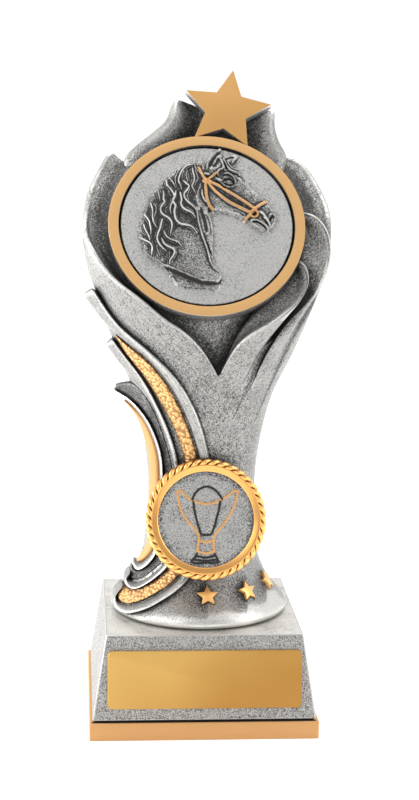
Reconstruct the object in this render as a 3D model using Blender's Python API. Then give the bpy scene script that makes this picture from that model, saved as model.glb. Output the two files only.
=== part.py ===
"""Horse trophy: a cast resin tower of petals and ribbons on a tapered plinth.

The frame: metres, +Z up, the origin at the centre of the plinth's underside, the front faces -Y.
The tower's free form is drawn in millimetres, heights counted from the table, and the named sizes
stretch that drawing. Every other size is a real one with a name of its own.
"""

import math

import bmesh
import bpy
import numpy as np

MM = 0.001

# Plinth: a gold base band, a thin groove and a tapered silver block
BAND_WIDTH = 60.0 * MM
BAND_DEPTH = 61.2 * MM
BAND_HEIGHT = 4.8 * MM
GROOVE_HEIGHT = 0.4 * MM
GROOVE_DEEP = 0.7 * MM
BLOCK_BOTTOM_WIDTH = 58.6 * MM
BLOCK_BOTTOM_DEPTH = 59.8 * MM
BLOCK_TOP_WIDTH = 51.5 * MM
BLOCK_TOP_DEPTH = 53.6 * MM
BLOCK_HEIGHT = 22.3 * MM
CORNER_RADIUS = 0.7 * MM
EDGE = CORNER_RADIUS / 2
PLINTH_HEIGHT = BAND_HEIGHT + GROOVE_HEIGHT + BLOCK_HEIGHT

# Name plate on the block's sloping front
PLATE_WIDTH = 50.6 * MM
PLATE_HEIGHT = 15.1 * MM
PLATE_THICKNESS = 0.7 * MM
PLATE_CORNER = 1.2 * MM
PLATE_DROP = 11.7 * MM

# Tower: its foot stands on the plinth, its highest point is the tip of the left flame
TOWER_WIDTH = 66.8 * MM
TOWER_DEPTH = 49.0 * MM
TOWER_HEIGHT = 136.5 * MM

# Ring round the horse disc, and the star on the ring
DISC_RADIUS = 22.6 * MM
DISC_THICKNESS = 1.5 * MM
DISC_SUNK = 0.6 * MM
DISC_SLACK = 0.4 * MM
RING_WIDTH = 2.7 * MM
RING_LEAN = math.radians(30.0)
STAR_RADIUS = 12.2 * MM
STAR_THICKNESS = 2.6 * MM
STAR_TURN = math.radians(10.0)
STAR_SUNK = 1.3 * MM
STAR_WAIST = 0.47
PETAL_BEHIND = 1.8 * MM
HORSE_HEIGHT = 1.5 * MM

# Cup medallion low on the neck
CUP_DISC_RADIUS = 12.9 * MM
CUP_DISC_THICKNESS = 1.2 * MM
BEZEL_WIDTH = 2.9 * MM
BEZEL_THICKNESS = 3.4 * MM
BEZEL_LEAN = math.radians(13.0)
BEZEL_PROUD = 3.4 * MM
ROPE_TURNS = 30
ROPE_DEEP = 0.45 * MM
CUP_LINE = 0.55 * MM

# Three small stars round the foot
SMALL_STAR_RADIUS = 2.9 * MM
SMALL_STAR_PROUD = 0.6 * MM

# Meshes that touch keep this gap
GAP = 0.3 * MM
# Depth of a floor, a web or an overlap that joins two shapes
JOIN = 1.0 * MM

# The drawing's own sizes, in millimetres, that the tower's named sizes stretch
DRAWN_WIDTH = 66.8
DRAWN_DEPTH = 49.0
DRAWN_HEIGHT = 136.5
DRAWN_FOOT = 27.8

# Cross-sections: height, half width, centre x, centre y, depth in front and depth behind
PROFILE = np.array([
    (27.8, 24.2, 0.0, 0.0, 24.6, 24.0),
    (30.5, 23.4, 0.0, 0.0, 23.6, 23.3),
    (35.2, 19.4, 0.0, 0.0, 19.4, 19.4),
    (42.0, 16.1, 0.1, 0.0, 16.0, 16.0),
    (50.0, 14.9, 0.2, 0.0, 14.9, 14.8),
    (63.5, 14.5, 0.3, 0.0, 14.5, 14.5),
    (76.0, 16.0, 0.3, 0.0, 15.2, 15.2),
    (87.0, 18.7, 0.4, -0.5, 16.2, 16.6),
    (97.5, 23.2, 0.7, -1.5, 17.0, 18.5),
    (106.0, 26.5, 0.8, -3.0, 17.8, 20.0),
    (113.7, 29.2, 0.9, -4.2, 18.0, 21.5),
    (120.5, 31.4, 0.8, -5.0, 18.0, 22.2),
    (128.0, 32.6, 0.6, -4.6, 17.0, 22.0),
    (135.0, 32.9, 0.6, -2.0, 15.0, 20.5),
    (142.0, 32.6, 0.7, 1.8, 12.0, 18.0),
    (150.0, 31.7, 0.9, 6.0, 10.0, 13.5),
])

# The cup's rim: degrees round from the front, towards +X, and height. It is lowest in the V
V_BOTTOM = 6.4
RIM = np.array([
    (-180, 151.0), (-165, 150.5), (-150, 148.5), (-138, 147.0), (-130, 148.6), (-125, 149.7),
    (-116, 145.0), (-105, 139.5), (-98, 134.5), (-88, 131.0), (-72, 126.3), (-56, 119.6),
    (-39, 114.2), (-25, 109.0), (-16, 106.3), (-8, 102.9), (0, 98.3), (V_BOTTOM, 94.2),
    (18, 97.5), (35, 102.0), (50, 107.0), (60, 112.0), (70, 119.0), (80, 128.0), (90, 134.5),
    (100, 138.5), (109, 142.1), (121, 146.9), (133, 148.8), (141, 147.6), (150, 148.2),
    (165, 150.5), (180, 151.0),
])
RIM_WIDTH = 1.1
RIBBON_GAP = 0.2
VALLEY_DEEP = 2.4
PETAL_ROOT = 3.0

# Ring centre in the drawing, on the ring's front face
RING_CENTRE = (0.3, -8.0, 132.5)
# Medallion centre in the drawing, on the neck's own surface
BEZEL_HEIGHT = 55.3

# Ribbon edges from right to left, as x and height, top to bottom
EDGES = {
    "silver one right": [(-29.6, 116.0), (-21.5, 107.0), (-13.5, 100.0), (-6.8, 92.6), (-2.4, 85.0),
                         (0.6, 76.0), (2.2, 66.0), (2.2, 55.0), (-0.6, 45.0), (-4.4, 39.2),
                         (-9.0, 35.0), (-15.0, 31.2), (-20.4, 29.5), (-24.6, 30.2)],
    "silver one left": [(-32.3, 113.6), (-22.9, 103.2), (-14.4, 96.0), (-8.7, 89.2), (-4.6, 81.2),
                        (-1.9, 73.4), (-0.4, 65.0), (-0.8, 55.0), (-2.8, 46.5), (-6.0, 40.6),
                        (-11.0, 36.0), (-16.2, 32.6), (-20.8, 31.0), (-24.4, 31.8)],
    "gold one left": [(-23.4, 101.2), (-20.5, 97.4), (-16.2, 92.9), (-12.0, 86.2), (-8.3, 79.5),
                      (-5.7, 72.0), (-4.4, 64.0), (-4.9, 55.0), (-6.6, 47.0), (-9.0, 42.0),
                      (-12.6, 38.3), (-17.2, 35.6), (-20.8, 35.0), (-23.0, 34.6)],
    "silver two left": [(-26.2, 100.0), (-21.8, 94.3), (-15.1, 89.1), (-11.5, 84.6), (-8.8, 79.4),
                        (-7.2, 74.1), (-6.6, 68.0), (-6.6, 62.0), (-7.6, 54.0), (-9.2, 48.0),
                        (-11.2, 44.2), (-14.2, 41.2), (-18.0, 38.0), (-21.2, 36.0)],
    "leaf right": [(-22.7, 87.9), (-18.7, 90.8), (-15.1, 88.8), (-11.5, 84.3), (-8.9, 79.1),
                   (-7.4, 74.0), (-6.8, 68.0), (-6.8, 62.0), (-7.8, 54.0), (-9.4, 48.0),
                   (-11.4, 44.2), (-14.4, 41.2), (-18.0, 38.2), (-20.6, 36.6)],
    "silver three right": [(-23.2, 87.0), (-19.0, 85.4), (-15.0, 81.6), (-12.3, 76.5), (-10.8, 71.4),
                           (-10.3, 66.0), (-10.4, 60.0), (-11.0, 54.0), (-12.2, 48.6),
                           (-14.0, 44.8), (-16.0, 42.0), (-18.6, 39.4)],
    "gold two right": [(-23.2, 86.4), (-19.4, 83.9), (-16.0, 80.4), (-13.4, 75.6), (-12.1, 71.0),
                       (-11.7, 66.0), (-11.8, 60.0), (-12.3, 54.0), (-13.4, 48.8),
                       (-15.0, 45.2), (-16.8, 42.4), (-19.0, 39.8)],
    "gold two left": [(-23.7, 85.9), (-19.9, 83.6), (-17.9, 80.4), (-16.0, 75.6), (-15.0, 71.0),
                      (-14.6, 66.0), (-14.6, 60.0), (-14.6, 54.0), (-15.3, 48.8),
                      (-16.6, 44.8), (-18.0, 41.8), (-19.6, 39.2)],
}

# Petals right of the V: the rim, and the groove where the petal ends on the body, bottom to top
PETAL_ONE_RIM = [(3.2, 94.2), (5.4, 98.9), (7.6, 102.6), (10.8, 105.4), (14.9, 107.4),
                 (19.4, 110.2), (23.6, 113.6), (25.9, 118.0), (25.2, 121.6), (22.2, 123.5)]
PETAL_ONE_GROOVE = [(6.4, 82.0), (8.6, 87.0), (10.6, 91.6), (13.4, 98.6), (16.8, 104.2),
                    (20.8, 109.4), (24.4, 113.8), (26.7, 118.2), (26.0, 122.6), (22.4, 124.5)]
PETAL_TWO_RIM = [(9.6, 84.0), (12.4, 92.0), (16.4, 101.0), (21.4, 108.4), (27.2, 113.2),
                 (30.7, 119.6), (32.1, 126.0), (31.2, 131.0), (28.0, 134.3), (24.0, 134.6)]
PETAL_TWO_GROOVE = [(12.6, 80.4), (15.6, 87.2), (18.6, 95.0), (22.6, 104.0), (28.0, 113.0),
                    (31.6, 119.4), (33.0, 126.2), (32.0, 131.8), (28.4, 135.2), (24.0, 135.6)]

# Flames behind the ring: outer edge, inner edge, as x, depth and height
FLAME_LEFT = ([(-27.0, 10.0, 136.0), (-24.6, 9.0, 144.0), (-18.6, 9.6, 151.2), (-13.4, 11.0, 155.2),
               (-9.6, 12.6, 158.6), (-8.2, 13.8, 162.4), (-7.0, 14.4, 164.3)],
              [(3.0, 12.0, 136.0), (4.0, 11.0, 144.0), (4.6, 11.5, 151.0), (4.4, 12.2, 155.6),
               (2.6, 13.4, 159.4), (-1.4, 14.2, 162.2), (-4.8, 14.6, 163.4)])
FLAME_RIGHT = ([(30.0, 9.0, 136.0), (28.2, 8.8, 144.0), (24.8, 9.4, 149.4), (21.6, 10.8, 152.8),
                (19.8, 12.4, 156.6), (19.7, 13.6, 159.4), (20.0, 14.4, 161.4)],
               [(2.0, 12.0, 136.0), (3.0, 11.0, 144.0), (4.0, 11.0, 150.0), (6.4, 11.8, 154.4),
                (9.4, 12.8, 157.8), (13.0, 13.8, 160.2), (16.8, 14.6, 161.4)])

# Horse, as shares of the disc's radius, right and up from its centre
HORSE_OUTLINE = [
    (0.17, 0.94), (0.23, 0.80), (0.32, 0.77), (0.40, 0.86), (0.42, 0.72), (0.46, 0.54),
    (0.59, 0.39), (0.70, 0.27), (0.78, 0.16), (0.80, 0.07), (0.76, -0.03), (0.68, -0.09),
    (0.62, -0.07), (0.54, -0.05), (0.41, 0.04), (0.28, 0.12), (0.10, 0.12), (0.06, 0.00),
    (0.07, -0.20), (0.08, -0.42), (0.14, -0.60), (0.10, -0.82), (-0.10, -0.81), (-0.36, -0.77),
    (-0.42, -0.66), (-0.50, -0.54), (-0.64, -0.42), (-0.72, -0.30), (-0.78, -0.10),
    (-0.72, 0.12), (-0.64, 0.31), (-0.54, 0.49), (-0.42, 0.60), (-0.26, 0.73), (-0.05, 0.80),
    (0.06, 0.84),
]
MANE_START = [(0.06, 0.80), (-0.03, 0.79), (-0.13, 0.75), (-0.23, 0.70), (-0.33, 0.62),
              (-0.42, 0.52), (-0.50, 0.40)]
MANE_END = [(-0.02, 0.10), (-0.10, -0.14), (-0.22, -0.34), (-0.32, -0.52), (-0.48, -0.50),
            (-0.62, -0.38), (-0.72, -0.22)]
MANE_WAVE = 0.045
LOCK_STEPS = 8
BRIDLE = [
    [(-0.09, 0.68), (0.00, 0.50), (0.25, 0.35), (0.49, 0.17), (0.54, 0.12)],
    [(0.10, 0.62), (0.00, 0.50), (0.00, 0.31), (0.07, 0.16)],
    [(0.00, 0.50), (0.15, 0.28), (0.32, 0.19), (0.54, 0.12)],
    [(0.69, 0.27), (0.54, 0.12), (0.42, 0.03)],
]

# Cup drawn on the small disc, as shares of that disc's radius
CUP_STROKES = [
    [(-0.26, 0.39), (0.0, 0.32), (0.28, 0.39)],
    [(-0.26, 0.39), (-0.44, 0.50), (-0.58, 0.57), (-0.53, 0.25), (-0.37, -0.03), (-0.19, -0.23)],
    [(0.28, 0.39), (0.48, 0.50), (0.64, 0.57), (0.51, 0.15), (0.32, -0.13), (0.19, -0.25)],
    [(-0.26, 0.45), (-0.15, 0.60), (0.02, 0.66), (0.19, 0.60), (0.31, 0.46)],
    [(-0.25, 0.36), (-0.22, 0.10), (-0.12, -0.29), (0.09, -0.29), (0.22, 0.05), (0.28, 0.36)],
    [(-0.16, -0.33), (-0.17, -0.52), (-0.19, -0.68)],
    [(0.15, -0.33), (0.16, -0.52), (0.17, -0.68)],
    [(-0.17, -0.43), (0.0, -0.46), (0.16, -0.43)],
    [(-0.19, -0.67), (0.0, -0.71), (0.17, -0.67)],
    [(-0.19, -0.68), (-0.29, -0.84), (0.24, -0.85), (0.16, -0.70)],
]


def smooth_between(knots, values, at):
    """Values on a smooth curve through the knots, flat past both ends."""
    knots, values = np.asarray(knots, float), np.asarray(values, float)
    rise = np.diff(values) / np.diff(knots)
    slope = np.concatenate([rise[:1], (rise[:-1] + rise[1:]) / 2, rise[-1:]])
    at = np.clip(at, knots[0], knots[-1])
    i = np.clip(np.searchsorted(knots, at, side="right") - 1, 0, len(knots) - 2)
    step = knots[i + 1] - knots[i]
    t = (at - knots[i]) / step
    start = (2 * t**3 - 3 * t**2 + 1) * values[i] + (t**3 - 2 * t**2 + t) * step * slope[i]
    end = (3 * t**2 - 2 * t**3) * values[i + 1] + (t**3 - t**2) * step * slope[i + 1]
    return start + end


def along(points, count):
    """Count points spread evenly along a smooth line through the given ones."""
    points = np.asarray(points, float)
    length = np.concatenate([[0.0], np.cumsum(np.linalg.norm(np.diff(points, axis=0), axis=1))])
    at = np.linspace(0.0, length[-1], count)
    return np.stack([smooth_between(length, column, at) for column in points.T], axis=1)


def stretched(points):
    """Drawing points, in millimetres, placed on the plinth at the tower's real size in metres."""
    points = np.asarray(points, float)
    size = np.array([TOWER_WIDTH / DRAWN_WIDTH, TOWER_DEPTH / DRAWN_DEPTH,
                     TOWER_HEIGHT / DRAWN_HEIGHT])
    foot = np.array([0.0, 0.0, PLINTH_HEIGHT + GAP])
    return (points - np.array([0.0, 0.0, DRAWN_FOOT])) * size + foot


def section_at(height):
    """Half width, centre x, centre y, front depth and back depth of the drawn body."""
    return [smooth_between(PROFILE[:, 0], PROFILE[:, column], height) for column in range(1, 6)]


def body_point(angle, height, outward=0.0):
    """A drawn point on the body at an angle round from the front, moved outward."""
    half, x, y, front, back = section_at(height)
    deep = np.where(np.cos(angle) > 0, front, back)
    return np.stack([x + (half + outward) * np.sin(angle),
                     y - (deep + outward) * np.cos(angle),
                     np.asarray(height, float) + 0.0 * angle], axis=-1)


def front_point(x, height, outward=0.0):
    """The drawn point that lies on the body's front at x, or on its tangent past the side."""
    half, middle, y, front, _ = section_at(height)
    share = np.abs((np.asarray(x, float) - middle) / (half + outward))
    turn = 0.9
    round_part = np.sqrt(1 - np.minimum(share, turn) ** 2)
    past = np.maximum(share - turn, 0.0) * turn / math.sqrt(1 - turn**2)
    return np.stack([np.asarray(x, float), y - (front + outward) * (round_part - past),
                     np.asarray(height, float)], axis=-1)


def material(name, colour, roughness, metallic):
    made = bpy.data.materials.new(name)
    made.use_nodes = True
    shader = made.node_tree.nodes["Principled BSDF"]
    shader.inputs["Base Color"].default_value = (*colour, 1.0)
    shader.inputs["Roughness"].default_value = roughness
    shader.inputs["Metallic"].default_value = metallic
    return made


def solid(name, points, faces, surface=None):
    """A closed mesh object with its faces turned outward."""
    mesh = bpy.data.meshes.new(name)
    mesh.from_pydata([tuple(p) for p in points], [], [tuple(f) for f in faces])
    work = bmesh.new()
    work.from_mesh(mesh)
    bmesh.ops.remove_doubles(work, verts=work.verts, dist=1e-7)
    bmesh.ops.recalc_face_normals(work, faces=work.faces)
    work.to_mesh(mesh)
    work.free()
    mesh.shade_smooth()
    mesh.set_sharp_from_angle(angle=math.radians(35))
    made = bpy.data.objects.new(name, mesh)
    bpy.context.scene.collection.objects.link(made)
    if surface:
        mesh.materials.append(surface)
    return made


def tube(rings, round_again=True):
    """Points and faces of a solid skinned over closed rings of equal count, capped at both ends."""
    rings = [np.asarray(ring, float) for ring in rings]
    count = len(rings[0])
    faces = []
    for i in range(len(rings) - 1):
        for j in range(count):
            k = (j + 1) % count
            faces.append((i * count + j, i * count + k, (i + 1) * count + k, (i + 1) * count + j))
    last = (len(rings) - 1) * count
    faces.append(tuple(reversed(range(count))))
    faces.append(tuple(range(last, last + count)))
    return np.concatenate(rings), faces


def helper(name, points, faces):
    """A solid that is only joined to, or cut from, another one."""
    made = solid(name, points, faces)
    made.hide_render = True
    made.display_type = "WIRE"
    return made


def combine(target, others, operation, solver="EXACT"):
    for other in others:
        step = target.modifiers.new(other.name, "BOOLEAN")
        step.operation = operation
        step.solver = solver
        step.object = other


def crowned(start, end, count, bulge):
    """Count points from start to end, bulging by a vector in the middle, the last left out."""
    share = np.linspace(0.0, 1.0, count + 1)[:-1, None]
    return start + (end - start) * share + bulge * 4 * share * (1 - share)


# Leaning frames for the ring and the medallion
def leaning(lean):
    """Right, up and outward directions of a face that leans back."""
    up = np.array([0.0, math.sin(lean), math.cos(lean)])
    out = np.array([0.0, -math.cos(lean), math.sin(lean)])
    return np.array([1.0, 0.0, 0.0]), up, out


def on_face(centre, lean, flat, height):
    """Points given right, up and outward on a leaning face."""
    right, up, out = leaning(lean)
    flat = np.asarray(flat, float)
    height = np.broadcast_to(np.asarray(height, float), flat.shape[:1])
    return centre + flat[:, :1] * right + flat[:, 1:] * up + height[:, None] * out


def circle(radius, count, start=0.0):
    turn = start + np.arange(count) * 2 * math.pi / count
    return np.stack([radius * np.cos(turn), radius * np.sin(turn)], axis=1)


def star_outline(radius, waist, turn):
    """Ten points of a five-pointed star whose top point is turned clockwise."""
    corner = np.arange(10)
    reach = np.where(corner % 2 == 0, radius, radius * waist)
    angle = math.pi / 2 - turn + corner * math.pi / 5
    return np.stack([reach * np.cos(angle), reach * np.sin(angle)], axis=1)


# Plinth
def rounded_rectangle(width, depth, radius, steps=3):
    points = []
    for corner, (sx, sy) in enumerate(((1, 1), (-1, 1), (-1, -1), (1, -1))):
        centre = np.array([sx * (width / 2 - radius), sy * (depth / 2 - radius)])
        for step in range(steps):
            angle = (corner + step / (steps - 1)) * math.pi / 2
            points.append(centre + radius * np.array([math.cos(angle), math.sin(angle)]))
    return np.array(points)


def make_plinth():
    groove_top = BAND_HEIGHT + GROOVE_HEIGHT
    groove_width = BLOCK_BOTTOM_WIDTH - 2 * GROOVE_DEEP
    groove_depth = BLOCK_BOTTOM_DEPTH - 2 * GROOVE_DEEP
    levels = [
        (0.0, BAND_WIDTH, BAND_DEPTH),
        (BAND_HEIGHT, (BAND_WIDTH + BLOCK_BOTTOM_WIDTH) / 2, (BAND_DEPTH + BLOCK_BOTTOM_DEPTH) / 2),
        (BAND_HEIGHT, groove_width, groove_depth),
        (groove_top, groove_width, groove_depth),
        (groove_top, BLOCK_BOTTOM_WIDTH, BLOCK_BOTTOM_DEPTH),
        (PLINTH_HEIGHT - EDGE, BLOCK_TOP_WIDTH, BLOCK_TOP_DEPTH),
        (PLINTH_HEIGHT, BLOCK_TOP_WIDTH - 2 * EDGE, BLOCK_TOP_DEPTH - 2 * EDGE),
    ]
    rings = []
    for height, width, depth in levels:
        flat = rounded_rectangle(width, depth, CORNER_RADIUS)
        rings.append(np.column_stack([flat, np.full(len(flat), height)]))
    return solid("plinth", *tube(rings), material("antique silver plinth", (0.42, 0.41, 0.39), 0.45, 0.8))


def make_plate():
    """A rounded plate that lies a hair off the block's sloping front."""
    drop = (BLOCK_BOTTOM_DEPTH - BLOCK_TOP_DEPTH) / 2
    slope = math.atan2(drop, BLOCK_HEIGHT)
    right, up, out = leaning(slope)
    top = np.array([0.0, -BLOCK_TOP_DEPTH / 2, PLINTH_HEIGHT])
    centre = top - up * PLATE_DROP
    bevel = PLATE_THICKNESS / 3
    outline = rounded_rectangle(PLATE_WIDTH, PLATE_HEIGHT, PLATE_CORNER, 6)
    face = rounded_rectangle(PLATE_WIDTH - 2 * bevel, PLATE_HEIGHT - 2 * bevel, PLATE_CORNER - bevel, 6)
    rings = [
        on_face(centre, slope, outline, GAP),
        on_face(centre, slope, outline, GAP + PLATE_THICKNESS - bevel),
        on_face(centre, slope, face, GAP + PLATE_THICKNESS),
    ]
    return solid("name_plate", *tube(rings), material("gold plate", (0.72, 0.47, 0.16), 0.3, 0.9))


# Tower
def ring_centre():
    return stretched(RING_CENTRE)


def seat_height():
    """How far the ring's flat seat lies behind the ring's front face."""
    return -(DISC_SUNK + DISC_THICKNESS + GAP)


def make_body(columns=28, rows=14):
    """Foot, neck and cup in one skin: up the outside, over the rim and down to the ring's seat."""
    left = np.linspace(-180.0, V_BOTTOM, columns, endpoint=False)
    right = np.linspace(V_BOTTOM, 180.0, columns - 2, endpoint=False)
    around = np.concatenate([left, right])
    angle = np.radians(around)
    cut = int(np.argmin(RIM[:, 1]))
    rim = np.where(around <= V_BOTTOM,
                   smooth_between(RIM[:cut + 1, 0], RIM[:cut + 1, 1], around),
                   smooth_between(RIM[cut:, 0], RIM[cut:, 1], around))
    rings = []
    for row in range(rows + 1):
        share = row / rows
        height = DRAWN_FOOT + (rim - DRAWN_FOOT) * share
        rings.append(stretched(body_point(angle, height)))
    rings.append(stretched(body_point(angle, rim - 0.3, -RIM_WIDTH)))
    centre = ring_centre()
    right_way, up, out = leaning(RING_LEAN)
    seat = centre + out * seat_height()
    start = rings[-1]
    flat = np.stack([(start - seat) @ right_way, (start - seat) @ up], axis=1)
    flat = flat / np.linalg.norm(flat, axis=1)[:, None] * (DISC_RADIUS + DISC_SLACK)
    goal = on_face(seat, RING_LEAN, flat, 0.0)
    for share in (0.3, 0.65):
        rings.append(start + (goal - start) * share - out * VALLEY_DEEP * MM * math.sin(math.pi * share))
    rings.append(goal)
    points, faces = tube(rings)
    return solid("tower", points, faces, material("antique silver", (0.46, 0.45, 0.43), 0.38, 0.85))


def make_ribbon(name, right, left, proud, count=15, across=3, crown=0.5, deep=2.4):
    """A band laid over the body between two drawn edges and sunk into it."""
    rings = []
    for a, b in zip(along(EDGES[right], count), along(EDGES[left], count)):
        inset = (b - a) / np.linalg.norm(b - a) * RIBBON_GAP
        a, b = a + inset, b - inset
        share = np.linspace(0.0, 1.0, across + 1)
        line = a + (b - a) * share[:, None]
        rise = proud + crown * 4 * share * (1 - share)
        top = front_point(line[:, 0], line[:, 1], rise)
        low = front_point(line[:, 0], line[:, 1], -deep)
        rings.append(stretched(np.concatenate([top, low[::-1]])))
    return helper(name, *tube(rings))


def behind_ring(points):
    """Moves real points that would stand in front of the ring straight back behind its face."""
    _, _, out = leaning(RING_LEAN)
    proud = (points - ring_centre()) @ out + PETAL_BEHIND
    return points - np.maximum(proud, 0.0)[..., None] * np.array([0.0, -1.0, 0.0]) / -out[1]


def make_petal(name, rim, groove, seat_from, seat_to, proud, count=14):
    """A spoon-shaped petal: a convex outer face, a rim, and a hollow inner face down to the ring."""
    centre = ring_centre()
    _, _, out = leaning(RING_LEAN)
    rim_line, groove_line = along(rim, count), along(groove, count)
    turn = np.radians(np.linspace(seat_from, seat_to, count))
    reach = DISC_RADIUS + DISC_SLACK
    seat = on_face(centre, RING_LEAN, np.stack([reach * np.cos(turn), reach * np.sin(turn)], axis=1),
                   seat_height())
    lift = smooth_between([0.0, 0.3, 1.0], [-1.0, proud, proud], np.linspace(0.0, 1.0, count))
    rings = []
    for step in range(count):
        top = behind_ring(stretched(front_point(*rim_line[step], lift[step] + 0.6)))
        low = behind_ring(stretched(front_point(*groove_line[step], lift[step])))
        root = stretched(front_point(*groove_line[step], -PETAL_ROOT))
        root = behind_ring(root + np.array([0.0, PETAL_ROOT * MM, 0.0]))
        inner = top + (seat[step] - top) * 0.75 - out * JOIN
        under = inner - out * PETAL_ROOT * MM
        outside = crowned(top, low, 2, out * 0.4 * JOIN)
        inside = crowned(inner, top, 3, -out * JOIN)
        rings.append(np.concatenate([outside, [low], [root], [under], inside]))
    return helper(name, *tube(rings))


def make_flame(name, outer, inner, count=9, across=5, thick=4.5, crown=2.2):
    """A thick tongue between two edges, round in front and flatter behind."""
    rings = []
    for a, b in zip(along(outer, count), along(inner, count)):
        share = np.linspace(0.0, 1.0, across + 1)
        line = a + (b - a) * share[:, None]
        swell = 4 * share * (1 - share)
        width = np.linalg.norm(b - a)
        front, back = line.copy(), line[::-1].copy()
        front[:, 1] -= swell * min(crown, width * 0.35)
        back[:, 1] += min(thick, width * 0.8) * (0.25 + 0.75 * swell)
        rings.append(stretched(np.concatenate([front, back])))
    return helper(name, *tube(rings))


def make_ring():
    """The flat ring, and under it a floor that closes the gap to the seat."""
    count = 40
    outer = DISC_RADIUS + DISC_SLACK + RING_WIDTH
    inner = DISC_RADIUS + DISC_SLACK
    edge = RING_WIDTH / 8
    centre = ring_centre()
    section = [(inner, seat_height() - JOIN), (outer - edge, seat_height() - JOIN),
               (outer, seat_height() + edge), (outer, -edge), (outer - edge, 0.0),
               (inner + edge, 0.0), (inner, -edge)]
    points, faces = [], []
    for radius, height in section:
        points.append(on_face(centre, RING_LEAN, circle(radius, count), height))
    size = len(section)
    for i in range(size):
        for j in range(count):
            k, m = (i + 1) % size, (j + 1) % count
            faces.append((i * count + j, i * count + m, k * count + m, k * count + j))
    return helper("ring", np.concatenate(points), faces)


def make_big_star():
    """The star stands on the ring, and a web behind its two lower points holds it there."""
    outer = DISC_RADIUS + DISC_SLACK + RING_WIDTH
    reach = outer + STAR_RADIUS * math.cos(math.pi / 5) - STAR_SUNK
    away = np.array([math.sin(STAR_TURN), math.cos(STAR_TURN)])
    side = np.array([math.cos(STAR_TURN), -math.sin(STAR_TURN)])
    edge = STAR_THICKNESS / 10
    outline = star_outline(STAR_RADIUS, STAR_WAIST, STAR_TURN) + away * reach
    face = star_outline(STAR_RADIUS - 3 * edge, STAR_WAIST, STAR_TURN) + away * reach
    rings = [on_face(ring_centre(), RING_LEAN, outline, -STAR_THICKNESS),
             on_face(ring_centre(), RING_LEAN, outline, -edge),
             on_face(ring_centre(), RING_LEAN, face, 0.0)]
    star = helper("star", *tube(rings))
    half = STAR_RADIUS * 0.36
    low, high = DISC_RADIUS + DISC_SLACK + RING_WIDTH / 2, reach
    web = np.array([away * low - side * half, away * low + side * half,
                    away * high + side * half, away * high - side * half])
    backing = [on_face(ring_centre(), RING_LEAN, web, -STAR_THICKNESS * 2.2),
               on_face(ring_centre(), RING_LEAN, web, -STAR_THICKNESS * 0.8)]
    return [star, helper("star web", *tube(backing))]


def make_small_star(index, angle, height):
    """A raised star square to the foot's slope."""
    here = body_point(np.radians(angle), height)
    above = body_point(np.radians(angle), height + 0.5)
    beside = body_point(np.radians(angle + 3.0), height)
    here, above, beside = stretched(here), stretched(above), stretched(beside)
    side = (beside - here) / np.linalg.norm(beside - here)
    up = (above - here) / np.linalg.norm(above - here)
    out = np.cross(side, up)
    out /= np.linalg.norm(out)
    flat = star_outline(SMALL_STAR_RADIUS, STAR_WAIST, 0.0)
    level = here + flat[:, :1] * side + flat[:, 1:] * np.cross(out, side)
    rings = [level - out * SMALL_STAR_PROUD * 2, level + out * SMALL_STAR_PROUD]
    return helper("small star %d" % index, *tube(rings))


# Medallion
def bezel_centre():
    """Centre of the holder's back, just off the neck."""
    front = stretched(body_point(np.array(0.0), BEZEL_HEIGHT))
    _, _, out = leaning(BEZEL_LEAN)
    return front + out * BEZEL_PROUD


def make_boss():
    """The stub on the neck that the holder sits on."""
    _, _, out = leaning(BEZEL_LEAN)
    flat = circle(CUP_DISC_RADIUS * 0.85, 24)
    rings = [on_face(bezel_centre(), BEZEL_LEAN, flat, -BEZEL_PROUD - 5 * JOIN),
             on_face(bezel_centre(), BEZEL_LEAN, flat, -GAP)]
    return helper("boss", *tube(rings))


def make_seat_cutter():
    """Takes the neck and ribbons down to a flat round seat where the holder lies."""
    flat = circle(CUP_DISC_RADIUS + BEZEL_WIDTH + GAP, 40)
    rings = [on_face(bezel_centre(), BEZEL_LEAN, flat, -GAP),
             on_face(bezel_centre(), BEZEL_LEAN, flat, 4 * BEZEL_THICKNESS)]
    return helper("holder seat", *tube(rings))


def make_bezel():
    """A shallow dish with a rope edge: flutes run slantwise over its outer corner."""
    inner = CUP_DISC_RADIUS + DISC_SLACK
    outer = CUP_DISC_RADIUS + BEZEL_WIDTH
    lip = inner + BEZEL_WIDTH * 0.28
    floor = BEZEL_THICKNESS * 0.35
    section = [(outer - 0.6 * MM, 0.0, 0.0), (outer, BEZEL_THICKNESS * 0.35, 1.0),
               (outer - BEZEL_WIDTH * 0.2, BEZEL_THICKNESS * 0.85, 1.0),
               (lip, BEZEL_THICKNESS, 0.0), (inner, BEZEL_THICKNESS * 0.9, 0.0), (inner, floor, 0.0)]
    count = ROPE_TURNS * 2
    rings = []
    for step, (radius, height, rope) in enumerate(section):
        turn = np.arange(count) * 2 * math.pi / count + step * math.pi / count * min(step, 2) * 0.5
        wave = radius - rope * ROPE_DEEP * (np.arange(count) % 2)
        flat = np.stack([wave * np.cos(turn), wave * np.sin(turn)], axis=1)
        rings.append(on_face(bezel_centre(), BEZEL_LEAN, flat, height))
    return solid("cup_bezel", *tube(rings), material("polished gold", (0.80, 0.45, 0.13), 0.22, 1.0))


def stroke(name, centre, lean, line, width, low, high):
    """A raised or cutting line with sloped sides along points on a leaning face."""
    line = np.asarray(line, float)
    way = np.gradient(line, axis=0)
    way /= np.linalg.norm(way, axis=1)[:, None]
    side = np.stack([-way[:, 1], way[:, 0]], axis=1)
    rings = []
    for place, across in zip(line, side):
        flat = np.array([place - across * width / 2, place - across * width / 4,
                         place + across * width / 4, place + across * width / 2])
        heights = np.array([low, high, high, low])
        rings.append(on_face(centre, lean, flat, heights))
    return helper(name, *tube(rings))


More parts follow.
